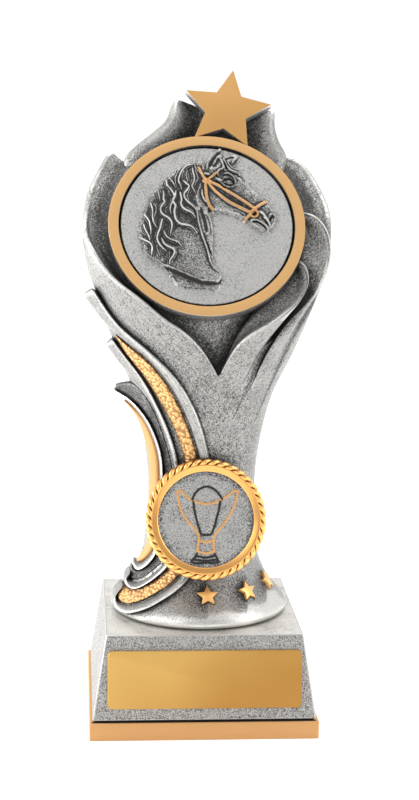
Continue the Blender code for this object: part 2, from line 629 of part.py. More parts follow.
def make_cup_disc():
    """The small disc with its cup drawn in shallow raised lines."""
    centre = bezel_centre() + leaning(BEZEL_LEAN)[2] * (BEZEL_THICKNESS * 0.35 + GAP)
    count = 40
    edge = CUP_DISC_THICKNESS / 5
    rings = [on_face(centre, BEZEL_LEAN, circle(CUP_DISC_RADIUS, count), 0.0),
             on_face(centre, BEZEL_LEAN, circle(CUP_DISC_RADIUS, count), CUP_DISC_THICKNESS - edge),
             on_face(centre, BEZEL_LEAN, circle(CUP_DISC_RADIUS - edge, count), CUP_DISC_THICKNESS)]
    disc = solid("cup_disc", *tube(rings), material("antique silver small disc", (0.42, 0.41, 0.40), 0.45, 0.8))
    lines = []
    for index, points in enumerate(CUP_STROKES):
        line = along(np.array(points) * CUP_DISC_RADIUS, 3 * len(points) - 2)
        lines.append(stroke("cup line %d" % index, centre, BEZEL_LEAN, line, CUP_LINE,
                            CUP_DISC_THICKNESS / 2, CUP_DISC_THICKNESS + (0.25 + 0.03 * index) * MM))
    combine(disc, lines, "UNION")
    return disc


# Horse disc
def make_horse_disc():
    centre = ring_centre() + leaning(RING_LEAN)[2] * (seat_height() + GAP)
    count = 44
    edge = DISC_THICKNESS / 6
    rings = [on_face(centre, RING_LEAN, circle(DISC_RADIUS, count), 0.0),
             on_face(centre, RING_LEAN, circle(DISC_RADIUS, count), DISC_THICKNESS - edge),
             on_face(centre, RING_LEAN, circle(DISC_RADIUS - edge, count), DISC_THICKNESS)]
    disc = solid("horse_disc", *tube(rings), material("antique silver disc", (0.50, 0.49, 0.48), 0.4, 0.85))
    low = DISC_THICKNESS / 2
    full = DISC_THICKNESS + HORSE_HEIGHT * 0.55
    outline = np.array(HORSE_OUTLINE) * DISC_RADIUS
    middle = np.array([-0.15, 0.05]) * DISC_RADIUS
    body = [on_face(centre, RING_LEAN, outline, low), on_face(centre, RING_LEAN, outline, full * 0.8),
            on_face(centre, RING_LEAN, middle + (outline - middle) * 0.96, full)]
    parts = [helper("horse body", *tube(body))]
    for index, (start, end) in enumerate(zip(MANE_START, MANE_END)):
        share = np.linspace(0.0, 1.0, LOCK_STEPS)[:, None]
        start, end = np.array(start), np.array(end)
        bow = np.array([-0.16, 0.0]) * np.sin(share * math.pi)
        wave = np.array([1.0, 0.0]) * MANE_WAVE * np.sin(share * math.pi * 3.0)
        line = (start + (end - start) * share + bow + wave) * DISC_RADIUS
        parts.append(stroke("lock %d" % index, centre, RING_LEAN, line, 2.3 * MM, low,
                            DISC_THICKNESS + HORSE_HEIGHT * (1.0 - 0.02 * index)))
    for index, points in enumerate(BRIDLE):
        line = along(np.array(points) * DISC_RADIUS, 3 * len(points) - 2)
        parts.append(stroke("strap %d" % index, centre, RING_LEAN, line, 0.8 * MM, low,
                            DISC_THICKNESS + HORSE_HEIGHT * (0.86 + 0.02 * index)))
    details = [("cheek", (0.24, 0.27), 0.15, 0.68), ("eye", (0.26, 0.49), 0.05, 0.80),
               ("nostril", (0.73, 0.06), 0.045, 0.75), ("bit ring", (0.54, 0.12), 0.075, 0.82)]
    for name, place, radius, height in details:
        flat = circle(radius * DISC_RADIUS, 12)
        spot = np.array(place) * DISC_RADIUS
        top = DISC_THICKNESS + HORSE_HEIGHT * height
        dome = [on_face(centre, RING_LEAN, flat + spot, low),
                on_face(centre, RING_LEAN, flat + spot, top - 0.3 * MM),
                on_face(centre, RING_LEAN, flat * 0.6 + spot, top)]
        parts.append(helper(name, *tube(dome)))
    combine(disc, parts, "UNION")
    return disc


def make_tower():
    tower = make_body()
    parts = [
        make_petal("petal two", PETAL_TWO_RIM, PETAL_TWO_GROOVE, -62.0, 4.0, 0.5),
        make_petal("petal one", PETAL_ONE_RIM, PETAL_ONE_GROOVE, -86.0, -22.0, 1.2),
        make_ribbon("silver ribbon one", "silver one right", "silver one left", 0.9),
        make_ribbon("gold ribbon one", "silver one left", "gold one left", 0.35),
        make_ribbon("silver ribbon two", "gold one left", "silver two left", 0.8),
        make_ribbon("dark leaf", "leaf right", "silver three right", 0.1, crown=0.2),
        make_ribbon("silver ribbon three", "silver three right", "gold two right", 0.75, count=13),
        make_ribbon("gold ribbon two", "gold two right", "gold two left", 0.45, count=13),
        make_flame("left flame", *FLAME_LEFT),
        make_flame("right flame", *FLAME_RIGHT),
        make_ring(),
        make_boss(),
    ]
    parts += make_big_star()
    for index, (angle, height) in enumerate(((3.0, 35.5), (38.0, 35.6), (70.0, 36.1))):
        parts.append(make_small_star(index, angle, height))
    # The exact solver drops the body where so many petals cross in one place
    combine(tower, parts, "UNION", "MANIFOLD")
    combine(tower, [make_seat_cutter()], "DIFFERENCE", "MANIFOLD")
    return tower


for old in list(bpy.data.objects):
    bpy.data.objects.remove(old)
make_plinth()
make_plate()
make_tower()
make_horse_disc()
make_bezel()
make_cup_disc()
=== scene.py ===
# %% [markdown]
# # A horse trophy
# The trophy is cast in one piece of resin: a round foot, a neck wound with ribbons, and a cup of petals
# that holds a framed disc with a horse's head. It is painted silver, its hollows are stained nearly black,
# and its ribbons, ring and stars are picked out in gold. Here each part is modelled on a fixed frame,
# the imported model, in metres.

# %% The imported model
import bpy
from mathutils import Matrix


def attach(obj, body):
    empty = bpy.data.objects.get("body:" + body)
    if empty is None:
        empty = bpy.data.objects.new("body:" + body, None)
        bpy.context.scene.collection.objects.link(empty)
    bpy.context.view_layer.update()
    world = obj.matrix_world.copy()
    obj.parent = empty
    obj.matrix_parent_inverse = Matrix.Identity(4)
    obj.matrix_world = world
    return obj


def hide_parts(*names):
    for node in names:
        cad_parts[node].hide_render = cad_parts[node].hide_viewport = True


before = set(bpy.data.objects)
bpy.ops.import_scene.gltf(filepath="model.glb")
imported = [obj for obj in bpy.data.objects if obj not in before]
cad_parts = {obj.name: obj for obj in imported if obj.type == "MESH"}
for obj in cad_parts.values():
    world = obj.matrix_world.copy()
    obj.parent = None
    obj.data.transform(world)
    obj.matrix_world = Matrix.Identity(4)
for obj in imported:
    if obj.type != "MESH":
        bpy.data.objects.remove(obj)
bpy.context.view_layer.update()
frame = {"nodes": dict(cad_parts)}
print("frame nodes:", ", ".join(frame["nodes"]))

# %% [markdown]
# ## Camera
# The photograph was taken from a little left of the middle and slightly above, with a long lens.
# The camera is set by its place and three turns, and its lens is as long as the photograph's framing asks.

# %% Camera
import math
import bmesh
import bpy
import numpy as np
from mathutils import Matrix, Vector
from mathutils.bvhtree import BVHTree

MM = 0.001
EYE = Vector((-33.6, -475.1, 171.6)) * MM
YAW, PITCH, ROLL = math.radians(4.31), math.radians(10.35), math.radians(0.88)
LENS = 81.0
MIDDLE = Vector((0, 0, 0.09))

forward = Vector((math.sin(YAW) * math.cos(PITCH), math.cos(YAW) * math.cos(PITCH), -math.sin(PITCH)))
level = Vector((math.cos(YAW), -math.sin(YAW), 0.0))
upward = level.cross(forward)
camera_x = level * math.cos(ROLL) + upward * math.sin(ROLL)
camera_y = upward * math.cos(ROLL) - level * math.sin(ROLL)
bpy.ops.object.camera_add()
camera = bpy.context.object
camera.name = "camera"
turn = Matrix((camera_x, camera_y, -forward)).transposed().to_4x4()
camera.matrix_world = Matrix.Translation(EYE) @ turn
camera.data.sensor_fit = "VERTICAL"
camera.data.sensor_height = 36.0
camera.data.lens = LENS
camera.data.clip_start = 0.01
bpy.context.scene.camera = camera
print("camera", round((EYE - MIDDLE).length, 3), "m from the trophy")

# %% [markdown]
# ## Floor and light
# A studio shot on white: a white floor and a white surround that is dimmer on the camera's side, as in
# a light tent with its opening there. A large soft light stands at the front left, a narrow one at the
# right, one overhead puts a bright line on the rims, and one far left washes out the left side.

# %% Floor and light
def softbox(name, place, aim, size, power):
    """A rectangular light that looks at a point."""
    bpy.ops.object.light_add(type="AREA", location=place)
    light = bpy.context.object
    light.name = name
    light.data.shape = "RECTANGLE"
    light.data.size, light.data.size_y = size
    light.data.energy = power
    light.rotation_euler = (Vector(aim) - Vector(place)).to_track_quat("-Z", "Y").to_euler()


FRONT_GLOW, BACK_GLOW = 0.40, 1.1
PAPER = {"Base Color": (0.86, 0.86, 0.86, 1), "Roughness": 0.9,
         "Emission Color": (1, 1, 1, 1), "Emission Strength": 0.4}
bpy.ops.mesh.primitive_plane_add(size=6.0)
floor = bpy.context.object
floor.name = "floor"
paper = bpy.data.materials.new("white paper")
paper.use_nodes = True
for label, value in PAPER.items():
    paper.node_tree.nodes["Principled BSDF"].inputs[label].default_value = value
floor.data.materials.append(paper)

# %% Surround and lamps
world = bpy.data.worlds.new("pale surround")
world.use_nodes = True
sky = world.node_tree
facing = sky.nodes.new("ShaderNodeSeparateXYZ")
sky.links.new(sky.nodes.new("ShaderNodeTexCoord").outputs["Generated"], facing.inputs[0])
glow = sky.nodes.new("ShaderNodeMapRange")
glow.interpolation_type = "SMOOTHSTEP"
glow.inputs["From Min"].default_value, glow.inputs["From Max"].default_value = -1.0, -0.1
glow.inputs["To Min"].default_value, glow.inputs["To Max"].default_value = FRONT_GLOW, BACK_GLOW
sky.links.new(facing.outputs["Y"], glow.inputs["Value"])
sky.links.new(glow.outputs["Result"], sky.nodes["Background"].inputs["Strength"])
sky.nodes["Background"].inputs["Color"].default_value = (1.0, 1.0, 1.0, 1)
bpy.context.scene.world = world
bpy.context.scene.view_settings.view_transform = "Standard"
# Name, place, size and power in watts; all of them look at the trophy's middle or just above it
softbox("left light", (-0.55, -0.55, 0.50), MIDDLE, (0.40, 0.6), 2.2)
softbox("right light", (0.65, -0.30, 0.35), MIDDLE, (0.22, 0.6), 1.6)
softbox("top light", (0.0, 0.15, 0.75), (0, 0, 0.10), (0.5, 0.4), 2.8)
softbox("side light", (-0.80, 0.18, 0.20), MIDDLE, (0.4, 0.5), 6.0)
print("floor and four lights")

# %% [markdown]
# ## Helpers
# A few small tools are used for every piece. Lines are drawn through a handful of points and smoothed,
# a skin is laid over rings of points, and every finished piece is tied to the model's one body and given
# its finish, while the node that it stands for is hidden.

# %% Helpers for lines and skins
def smooth_between(knots, values, at):
    """Values on a smooth curve through the knots, flat past both ends."""
    knots, values = np.asarray(knots, float), np.asarray(values, float)
    rise = np.diff(values) / np.diff(knots)
    slope = np.concatenate([rise[:1], (rise[:-1] + rise[1:]) / 2, rise[-1:]])
    at = np.clip(at, knots[0], knots[-1])
    i = np.clip(np.searchsorted(knots, at, side="right") - 1, 0, len(knots) - 2)
    step = knots[i + 1] - knots[i]
    t = (at - knots[i]) / step
    start = (2 * t**3 - 3 * t**2 + 1) * values[i] + (t**3 - 2 * t**2 + t) * step * slope[i]
    return start + (3 * t**2 - 2 * t**3) * values[i + 1] + (t**3 - t**2) * step * slope[i + 1]


def along(points, count):
    """Count points spread evenly along a smooth line through the given ones."""
    points = np.asarray(points, float)
    length = np.concatenate([[0.0], np.cumsum(np.linalg.norm(np.diff(points, axis=0), axis=1))])
    at = np.linspace(0.0, length[-1], count)
    return np.stack([smooth_between(length, column, at) for column in points.T], axis=1)


def only(piece):
    """Leaves one object selected and active."""
    bpy.ops.object.select_all(action="DESELECT")
    piece.select_set(True)
    bpy.context.view_layer.objects.active = piece


def new_piece(name, mesh):
    """An object that carries a mesh, the only one selected."""
    piece = bpy.data.objects.new(name, mesh)
    bpy.context.scene.collection.objects.link(piece)
    only(piece)
    return piece


def faces_outwards():
    """In edit mode, turns all faces of the piece outwards, and leaves that mode."""
    bpy.ops.mesh.select_all(action="SELECT")
    bpy.ops.mesh.normals_make_consistent(inside=False)
    bpy.ops.object.mode_set(mode="OBJECT")


def skin(name, rings, levels=0, inside=None):
    """A closed solid over rings of points in millimetres, capped at both ends and subdivided.

    Inside says how far each point lies in the cup, where more stain stays."""
    count = len(rings[0])
    faces = [tuple(reversed(range(count)))]
    for i in range(len(rings) - 1):
        for j in range(count):
            k = (j + 1) % count
            faces.append((i * count + j, i * count + k, (i + 1) * count + k, (i + 1) * count + j))
    last = (len(rings) - 1) * count
    faces.append(tuple(range(last, last + count)))
    mesh = bpy.data.meshes.new(name)
    mesh.from_pydata((np.concatenate(rings) * MM).tolist(), [], faces)
    if inside is not None:
        marks = mesh.attributes.new("inside", "FLOAT", "POINT")
        marks.data.foreach_set("value", np.asarray(inside, np.float32).ravel())
    piece = new_piece(name, mesh)
    bpy.ops.object.mode_set(mode="EDIT")
    faces_outwards()
    if levels:
        rounded = piece.modifiers.new("round", "SUBSURF")
        rounded.levels = rounded.render_levels = levels
        bpy.ops.object.modifier_apply(modifier=rounded.name)
    bpy.ops.object.shade_smooth()
    return piece


def belongs(piece, node, surface):
    """Ties a finished piece to the body and to its finish, and hides the node that it stands for."""
    piece.data.materials.clear()
    piece.data.materials.append(surface)
    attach(piece, "root")
    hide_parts(node)
    print(piece.name, "has", len(piece.data.polygons), "faces")
    return piece


# %% Helpers for modelling by hand
def pick(piece, faces=None, edges=None, points=None):
    """In edit mode, selects what passes a test on its centre and, for faces, its normal."""
    work = bmesh.from_edit_mesh(piece.data)
    for item in (*work.verts, *work.edges, *work.faces):
        item.select = False
    if faces:
        bpy.ops.mesh.select_mode(type="FACE")
        for face in work.faces:
            face.select_set(bool(faces(face.calc_center_median(), face.normal)))
    if edges:
        bpy.ops.mesh.select_mode(type="EDGE")
        for edge in work.edges:
            edge.select_set(bool(edges(edge.verts[0].co, edge.verts[1].co)))
    if points:
        bpy.ops.mesh.select_mode(type="VERT")
        for point in work.verts:
            point.select_set(bool(points(point.co)))
    work.select_flush_mode()
    bmesh.update_edit_mesh(piece.data)


def new_shape(name, scale=None):
    """Names the primitive that was just added, and moves its size and place into its mesh."""
    piece = bpy.context.object
    piece.name = name
    if scale is not None:
        piece.scale = scale
    bpy.ops.object.transform_apply(location=True, rotation=True, scale=True)
    return piece


def edit(piece):
    """Opens a piece for work on its faces."""
    only(piece)
    bpy.ops.object.mode_set(mode="EDIT")
    bpy.ops.mesh.select_mode(type="FACE")


def finish_by_hand(piece, angle=35.0):
    """Leaves edit mode, with flat faces kept flat and round ones smooth."""
    faces_outwards()
    bpy.ops.object.shade_smooth_by_angle(angle=math.radians(angle))


def settle(piece, matrix):
    """Moves a piece's own points by a matrix, so that its object stays at the origin."""
    piece.data.transform(matrix @ piece.matrix_basis)
    piece.matrix_basis = Matrix.Identity(4)
    return piece


def leaning_matrix(centre, lean):
    """From a piece lying on the ground to the same piece on a face that leans back."""
    return Matrix.Translation(Vector(centre) * MM) @ Matrix.Rotation(math.pi / 2 - lean, 4, "X")


# %% [markdown]
# ## Finishes
# Antique silver is made by painting the casting silver, brushing black stain over it and wiping it off:
# the stain stays in the hollows and in the grain. Each silver piece carries a number called hollow on its
# points, which says how closed in they are. One node group turns it, with three sizes of noise, into a
# mask of stain and painted shade, with crossed brush strokes in it, so all the silver pieces age alike:
# the darkening that follows the hollow number is partly that stain and partly painted shade.

# %% Node helpers
def node(tree, kind, inputs=None, **settings):
    """A new node with its settings, its inputs linked or filled in."""
    made = tree.nodes.new(kind)
    for key, value in settings.items():
        setattr(made, key, value)
    for key, value in (inputs or {}).items():
        if isinstance(value, bpy.types.NodeSocket):
            tree.links.new(value, made.inputs[key])
        else:
            made.inputs[key].default_value = value
    return made


def sums(tree, operation, first, second):
    """The result of one step of arithmetic."""
    return node(tree, "ShaderNodeMath", {0: first, 1: second}, operation=operation).outputs[0]


def blend_colours(tree, factor, first, second):
    """The first colour where the factor is 0, the second where it is 1."""
    made = node(tree, "ShaderNodeMix", {0: factor, 6: first, 7: second}, data_type="RGBA")
    return made.outputs[2]


def spread(tree, value, low, high, to_low=0.0, to_high=1.0):
    """Maps a range to another one with soft ends."""
    made = node(tree, "ShaderNodeMapRange",
                {0: value, 1: low, 2: high, 3: to_low, 4: to_high}, interpolation_type="SMOOTHSTEP")
    return made.outputs[0]


def noise_value(tree, vector, scale, detail=3.0, rough=0.6):
    made = node(tree, "ShaderNodeTexNoise",
                {"Vector": vector, "Scale": scale, "Detail": detail, "Roughness": rough})
    return made.outputs["Fac"]


def new_group(name, inputs, outputs):
    """An empty node group with named sockets, with its inner input and output nodes."""
    tree = bpy.data.node_groups.new(name, "ShaderNodeTree")
    for label, kind, value in inputs:
        socket = tree.interface.new_socket(label, in_out="INPUT", socket_type=kind)
        if value is not None:
            socket.default_value = value
    for label, kind in outputs:
        tree.interface.new_socket(label, in_out="OUTPUT", socket_type=kind)
    return tree, tree.nodes.new("NodeGroupInput"), tree.nodes.new("NodeGroupOutput")


# %% The stain group
def stroke_noise(tree, vector, turn, scale):
    """Noise drawn out into brush strokes that lean this way as seen from the front."""
    turned = node(tree, "ShaderNodeMapping", {"Vector": vector, "Rotation": (0, turn, 0), "Scale": (1, 1, 7)},
                  vector_type="TEXTURE")
    return noise_value(tree, turned.outputs[0], scale, 2.0, 0.6)


def make_stain_and_shade_group():
    """Stain: 1 where black stain stays, and where the hollow number paints shade; 0 where it was wiped off.
    Grain: the fine tooth of the paint.
    """
    number = "NodeSocketFloat"
    tree, given, out = new_group("stain", [
        ("Vector", "NodeSocketVector", None), ("Hollow", number, 0.0), ("Depth", number, 1.5),
        ("Speckle", number, 1.0), ("Strokes", number, 1.0), ("Cloud", number, 1.0), ("Open", number, 0.2),
    ], [("Stain", number), ("Grain", number)])
    at = given.outputs["Vector"]
    fine = noise_value(tree, at, 3000.0, 2.0, 0.7)
    # A noise, how strongly it shows, and the input that turns it up or down
    layers = [
        (fine, 1.9, "Speckle"),
        (noise_value(tree, at, 1300.0, 3.0, 0.65), 0.35, "Speckle"),
        (noise_value(tree, at, 170.0, 4.0, 0.6), 0.9, "Cloud"),
        (stroke_noise(tree, at, math.radians(42), 3400.0), 0.9, "Strokes"),
        (stroke_noise(tree, at, math.radians(-35), 3000.0), 0.9, "Strokes"),
    ]
    total = sums(tree, "ADD", given.outputs["Open"],
                 sums(tree, "MULTIPLY", given.outputs["Hollow"], given.outputs["Depth"]))
    for value, amount, label in layers:
        change = sums(tree, "MULTIPLY", sums(tree, "SUBTRACT", value, 0.5), amount)
        total = sums(tree, "ADD", total, sums(tree, "MULTIPLY", change, given.outputs[label]))
    tree.links.new(spread(tree, total, 0.0, 1.0), out.inputs["Stain"])
    tree.links.new(fine, out.inputs["Grain"])
    return tree


stain_and_shade_group = make_stain_and_shade_group()
print("stain group with", len(stain_and_shade_group.nodes), "nodes")

# %% [markdown]
# Each finish is one shader with the stain group before it. The stain darkens the paint, dulls it and lies
# a little lower; where it follows the hollow number it is partly stain and partly painted shade. Gold is
# stained brown and not black. Where the hollow number falls below zero, on a sharp bulge, the paint is
# lighter: partly rubbed bare and partly a painted highlight. Hammered gold adds rounded pebbles: the cells
# of a Voronoi texture are high in their middles, and stain gathers in the gaps between them.

# %% The paints
STAIN_BLACK = (0.014, 0.013, 0.012, 1)
GOLD_BROWN = (0.23, 0.085, 0.02, 1)
DEEP_BROWN = (0.20, 0.065, 0.01, 1)
SHADED_GOLD = (0.34, 0.17, 0.04, 1)
STAINED_ROUGHNESS = 0.6
STAINED_METALLIC = 0.3
LIGHTEST_BULGE, UNLIGHTENED_BULGE = -0.14, -0.02
GRAIN_HEIGHT = 0.35
PEBBLE_HEIGHT, PEBBLE_GRAIN = 1.6, 0.2
GAP_STAIN = 1.3
BUMP_DEPTH = 0.0002


def metal_paint(name, colour, roughness, metallic, stain, bump, dark=STAIN_BLACK, worn_and_highlit=1.0, dimple=None):
    """A painted metal finish with stain and painted shade over it, lighter by worn_and_highlit on a sharp
    bulge: partly rubbed bare, partly painted highlight.

    A dimple scale adds hammered pebbles."""
    made = bpy.data.materials.new(name)
    made.use_nodes = True
    tree = made.node_tree
    shader = tree.nodes["Principled BSDF"]
    at = tree.nodes.new("ShaderNodeTexCoord").outputs["Object"]
    hollow = node(tree, "ShaderNodeAttribute", attribute_name="hollow").outputs["Fac"]
    if dimple:
        cells = node(tree, "ShaderNodeTexVoronoi", {"Vector": at, "Scale": dimple}, feature="F1")
        rise = spread(tree, cells.outputs["Distance"], 0.15, 0.75, 1.0, 0.0)
        gaps = spread(tree, cells.outputs["Distance"], 0.40, 0.72, 0.0, GAP_STAIN)
        hollow = sums(tree, "ADD", hollow, gaps)
    stained = node(tree, "ShaderNodeGroup", {"Vector": at, "Hollow": hollow, **stain}, node_tree=stain_and_shade_group)
    # The mask is stain and, through the hollow number, partly painted shade.
    mask = stained.outputs["Stain"]
    # Lighter paint on a sharp bulge: partly rubbed bare, partly a painted highlight.
    bare_and_highlit = (*[min(1.0, part * worn_and_highlit) for part in colour], 1)
    rubbed_and_highlit = spread(tree, hollow, LIGHTEST_BULGE, UNLIGHTENED_BULGE, 1.0, 0.0)
    paint = blend_colours(tree, rubbed_and_highlit, (*colour, 1), bare_and_highlit)
    tree.links.new(blend_colours(tree, mask, paint, dark), shader.inputs["Base Color"])
    dulled = spread(tree, mask, 0.0, 1.0, roughness, STAINED_ROUGHNESS)
    tree.links.new(dulled, shader.inputs["Roughness"])
    less_metal = spread(tree, mask, 0.0, 1.0, metallic, metallic * STAINED_METALLIC)
    tree.links.new(less_metal, shader.inputs["Metallic"])
    height = sums(tree, "SUBTRACT", sums(tree, "MULTIPLY", stained.outputs["Grain"], GRAIN_HEIGHT), mask)
    if dimple:
        height = sums(tree, "ADD", sums(tree, "MULTIPLY", height, PEBBLE_GRAIN),
                      sums(tree, "MULTIPLY", rise, PEBBLE_HEIGHT))
    relief = node(tree, "ShaderNodeBump", {"Height": height, "Strength": bump, "Distance": BUMP_DEPTH})
    tree.links.new(relief.outputs[0], shader.inputs["Normal"])
    return made


def stain_amounts(depth, speckle, strokes, cloud, open_share):
    """How strongly each cause leaves stain: hollows, speckle, brush strokes, clouds, and open faces."""
    return {"Depth": depth, "Speckle": speckle, "Strokes": strokes, "Cloud": cloud, "Open": open_share}


# %% Silver and gold
SILVER = (0.37, 0.365, 0.35)
GOLD = (0.56, 0.30, 0.11)
DULL = 0.1
gold_stain = stain_amounts(0.8, 0.15, 0.1, 0.2, -0.1)
# Name, colour, roughness, metallic, stain, bump, the stain's colour, and how much lighter a sharp edge is,
# partly rubbed and partly painted highlight
silver = metal_paint("antique silver", SILVER, 0.36, 0.9,
                     stain_amounts(1.1, 1.15, 1.0, 0.45, 0.25), 0.5, worn_and_highlit=1.75)
gold = metal_paint("gold paint", GOLD, 0.55, 0.35, gold_stain, 0.15, GOLD_BROWN, 1.1)
ring_gold = metal_paint("ring gold paint", (0.505, 0.303, 0.127), 0.6, 0.2, gold_stain, 0.15, GOLD_BROWN)
# Painted shade: the star's gold is the ring's paint made darker, since the lamps light the star more
# strongly.
painted_shade_star_gold = metal_paint("star gold paint with painted shade", (0.455, 0.255, 0.09), 0.6, 0.2, gold_stain, 0.15, GOLD_BROWN)
for paint in (ring_gold, painted_shade_star_gold):
    paint.node_tree.nodes["Principled BSDF"].inputs["Specular IOR Level"].default_value = DULL
hammered_gold = metal_paint("hammered gold paint", (0.84, 0.50, 0.20), 0.4, 0.5,
                            stain_amounts(0.6, 0.2, 0.1, 0.2, -0.1), 1.0, GOLD_BROWN, 1.1, dimple=1150.0)
bright_gold = metal_paint("polished gold", (0.76, 0.39, 0.12), 0.28, 0.9,
                          stain_amounts(4.2, 0.1, 0.0, 0.2, -0.1), 0.1, DEEP_BROWN, 1.3)
plate_gold = metal_paint("satin gold plate", (0.56, 0.30, 0.075), 0.6, 0.7,
                         stain_amounts(0.0, 0.1, 0.0, 0.3, 0.0), 0.05, SHADED_GOLD)
print("seven finishes from one stain group")

# %% [markdown]
# ## Plinth
# The plinth is a block whose four sides lean in, on a low base band. By hand it starts as a box: the top
# face is inset and pushed down for the thin groove, then raised and drawn in for the block. The band and
# the block are two pieces here, because one is painted gold and the other silver.

# %% Plinth
# Width, depth and height in millimetres
BAND = (60.0, 61.2, 4.8)
BLOCK_BOTTOM = (58.6, 59.8)
BLOCK_TOP = (51.5, 53.6)
GROOVE_HIGH = 0.4
GROOVE_IN = 0.7
PLINTH_TOP = 27.5
BLOCK_LOW = BAND[2] + GROOVE_HIGH
UPWARD = 0.9
TINY = 1e-6

# Black: in the groove a dark stained joint, on the front ledge a painted shadow.
groove_stain_and_ledge_shadow = metal_paint("stained groove and painted ledge shadow", SILVER, 0.5, 0.5, stain_amounts(0.0, 0.3, 0.0, 0.3, 1.0), 0.3)


def make_band():
    """The gold band, with the groove's floor on it. The groove is stained black, and the ledge in front of it
    is black as painted shadow.
    """
    bpy.ops.mesh.primitive_cube_add(size=1.0, location=(0, 0, BAND[2] / 2 * MM))
    piece = new_shape("base_band", Vector(BAND) * MM)
    edit(piece)
    pick(piece, faces=lambda centre, normal: normal.z > UPWARD)
    bpy.ops.mesh.inset(thickness=(BAND[0] - BLOCK_BOTTOM[0]) / 2 * MM + GROOVE_IN * MM)
    bpy.ops.mesh.extrude_region_move(TRANSFORM_OT_translate={"value": (0, 0, GROOVE_HIGH * 1.5 * MM)})
    near_side = (BAND[0] / 2 - 0.1) * MM
    pick(piece, edges=lambda a, b: max(a.z, b.z) < BAND[2] * MM + TINY and abs(a.x) > near_side)
    bpy.ops.mesh.bevel(offset=0.35 * MM, segments=3)
    finish_by_hand(piece)
    belongs(piece, "plinth", gold)
    piece.data.materials.append(groove_stain_and_ledge_shadow)
    for face in piece.data.polygons:
        above_band = face.center.z - BAND[2] * MM
        in_groove = above_band > 10 * TINY
        # The front ledge lies in shadow under the block, so it is painted black as painted shadow; the other
        # ledges stay gold.
        shadowed_front_ledge = above_band > -10 * TINY and face.center.y < -0.4 * BAND[1] * MM
        face.material_index = int(in_groove or shadowed_front_ledge)
    return piece


def make_block():
    """The block: a box whose top is drawn in, with all its edges softened."""
    bpy.ops.mesh.primitive_cube_add(size=1.0, location=(0, 0, (PLINTH_TOP + BLOCK_LOW) / 2 * MM))
    piece = new_shape("plinth_block", Vector((*BLOCK_BOTTOM, PLINTH_TOP - BLOCK_LOW)) * MM)
    edit(piece)
    pick(piece, faces=lambda centre, normal: normal.z > UPWARD)
    share = (BLOCK_TOP[0] / BLOCK_BOTTOM[0], BLOCK_TOP[1] / BLOCK_BOTTOM[1], 1.0)
    bpy.ops.transform.resize(value=share)
    pick(piece, edges=lambda a, b: True)
    bpy.ops.mesh.bevel(offset=0.4 * MM, segments=3)
    finish_by_hand(piece)
    return piece


make_band()
block = make_block()
print("groove between them, mm:", GROOVE_HIGH)

# %% [markdown]
# The block's silver is finer and flatter than the tower's: an even grey speckle on its sides, brush
# strokes on a top whose lighter colour is painted light from the lamps above, and lighter edges that are
# partly wear and partly a painted highlight. It needs no hollow number, so its stain comes from the noise
# alone. The edges are told from the sides by how small their faces are.

# %% Plinth finish
SMALL_FACE = 100 * MM**2
plinth_silver = metal_paint("antique silver plinth", (0.48, 0.47, 0.45), 0.42, 0.8,
                            stain_amounts(0.0, 1.3, 0.35, 0.25, 0.4), 0.5)
# The edges: lighter and less stained, partly wear and partly a painted highlight.
worn_and_highlit_silver = metal_paint("silver edge, worn and painted highlight", (0.50, 0.49, 0.47), 0.4, 0.85,
                          stain_amounts(0.0, 0.8, 0.3, 0.3, 0.05), 0.3)
# Painted light: the top is a lighter copy of the plinth's silver, for the lamp light that falls on it.
painted_light_top_silver = metal_paint("brushed silver top with painted light", (0.66, 0.64, 0.60), 0.42, 0.75,
                         stain_amounts(0.0, 0.4, 1.2, 1.2, 0.17), 0.3)
belongs(block, "plinth", plinth_silver)
block.data.materials.append(worn_and_highlit_silver)
block.data.materials.append(painted_light_top_silver)
# Small faces are the edges, faces turned up are the top with its painted light, and the rest are the sides.
for face in block.data.polygons:
    face.material_index = 1 if face.area < SMALL_FACE else 2 if face.normal.z > UPWARD else 0

# %% [markdown]
# ## Name plate
# A thin satin plate with rounded corners lies on the block's sloping front. It is blank: a name is
# printed on it when the prize is won. It starts as a flat square whose corners and rim are bevelled.
# A painted sheen runs across its colour from corner to corner, pale to deep, in place of the reflection of a
# wide lamp in satin metal.

# %% Name plate
# Width and height, thickness, and how far its middle lies down the slope from the block's top edge
PLATE = (50.6, 15.1)
PLATE_THICK = 0.95
PLATE_CORNER = 1.2
PLATE_DROP = 11.7
plate_slope = math.atan2((BLOCK_BOTTOM[1] - BLOCK_TOP[1]) / 2, PLINTH_TOP - BLOCK_LOW)
slope_up = Vector((0, math.sin(plate_slope), math.cos(plate_slope)))
slope_out = Vector((0, -math.cos(plate_slope), math.sin(plate_slope)))
plate_centre = Vector((0, -BLOCK_TOP[1] / 2, PLINTH_TOP)) - slope_up * PLATE_DROP + slope_out * 0.05

bpy.ops.mesh.primitive_plane_add(size=1.0)
plate = new_shape("plate", (PLATE[0] * MM, PLATE[1] * MM, 1.0))
edit(plate)
bpy.ops.mesh.select_all(action="SELECT")
bpy.ops.mesh.bevel(offset=PLATE_CORNER * MM, segments=6, affect="VERTICES")
bpy.ops.mesh.extrude_region_move(TRANSFORM_OT_translate={"value": (0, 0, PLATE_THICK * MM)})
pick(plate, edges=lambda a, b: min(a.z, b.z) > PLATE_THICK / 2 * MM)
bpy.ops.mesh.bevel(offset=0.2 * MM, segments=3)
finish_by_hand(plate)
settle(plate, leaning_matrix(plate_centre, plate_slope))
belongs(plate, "name_plate", plate_gold)

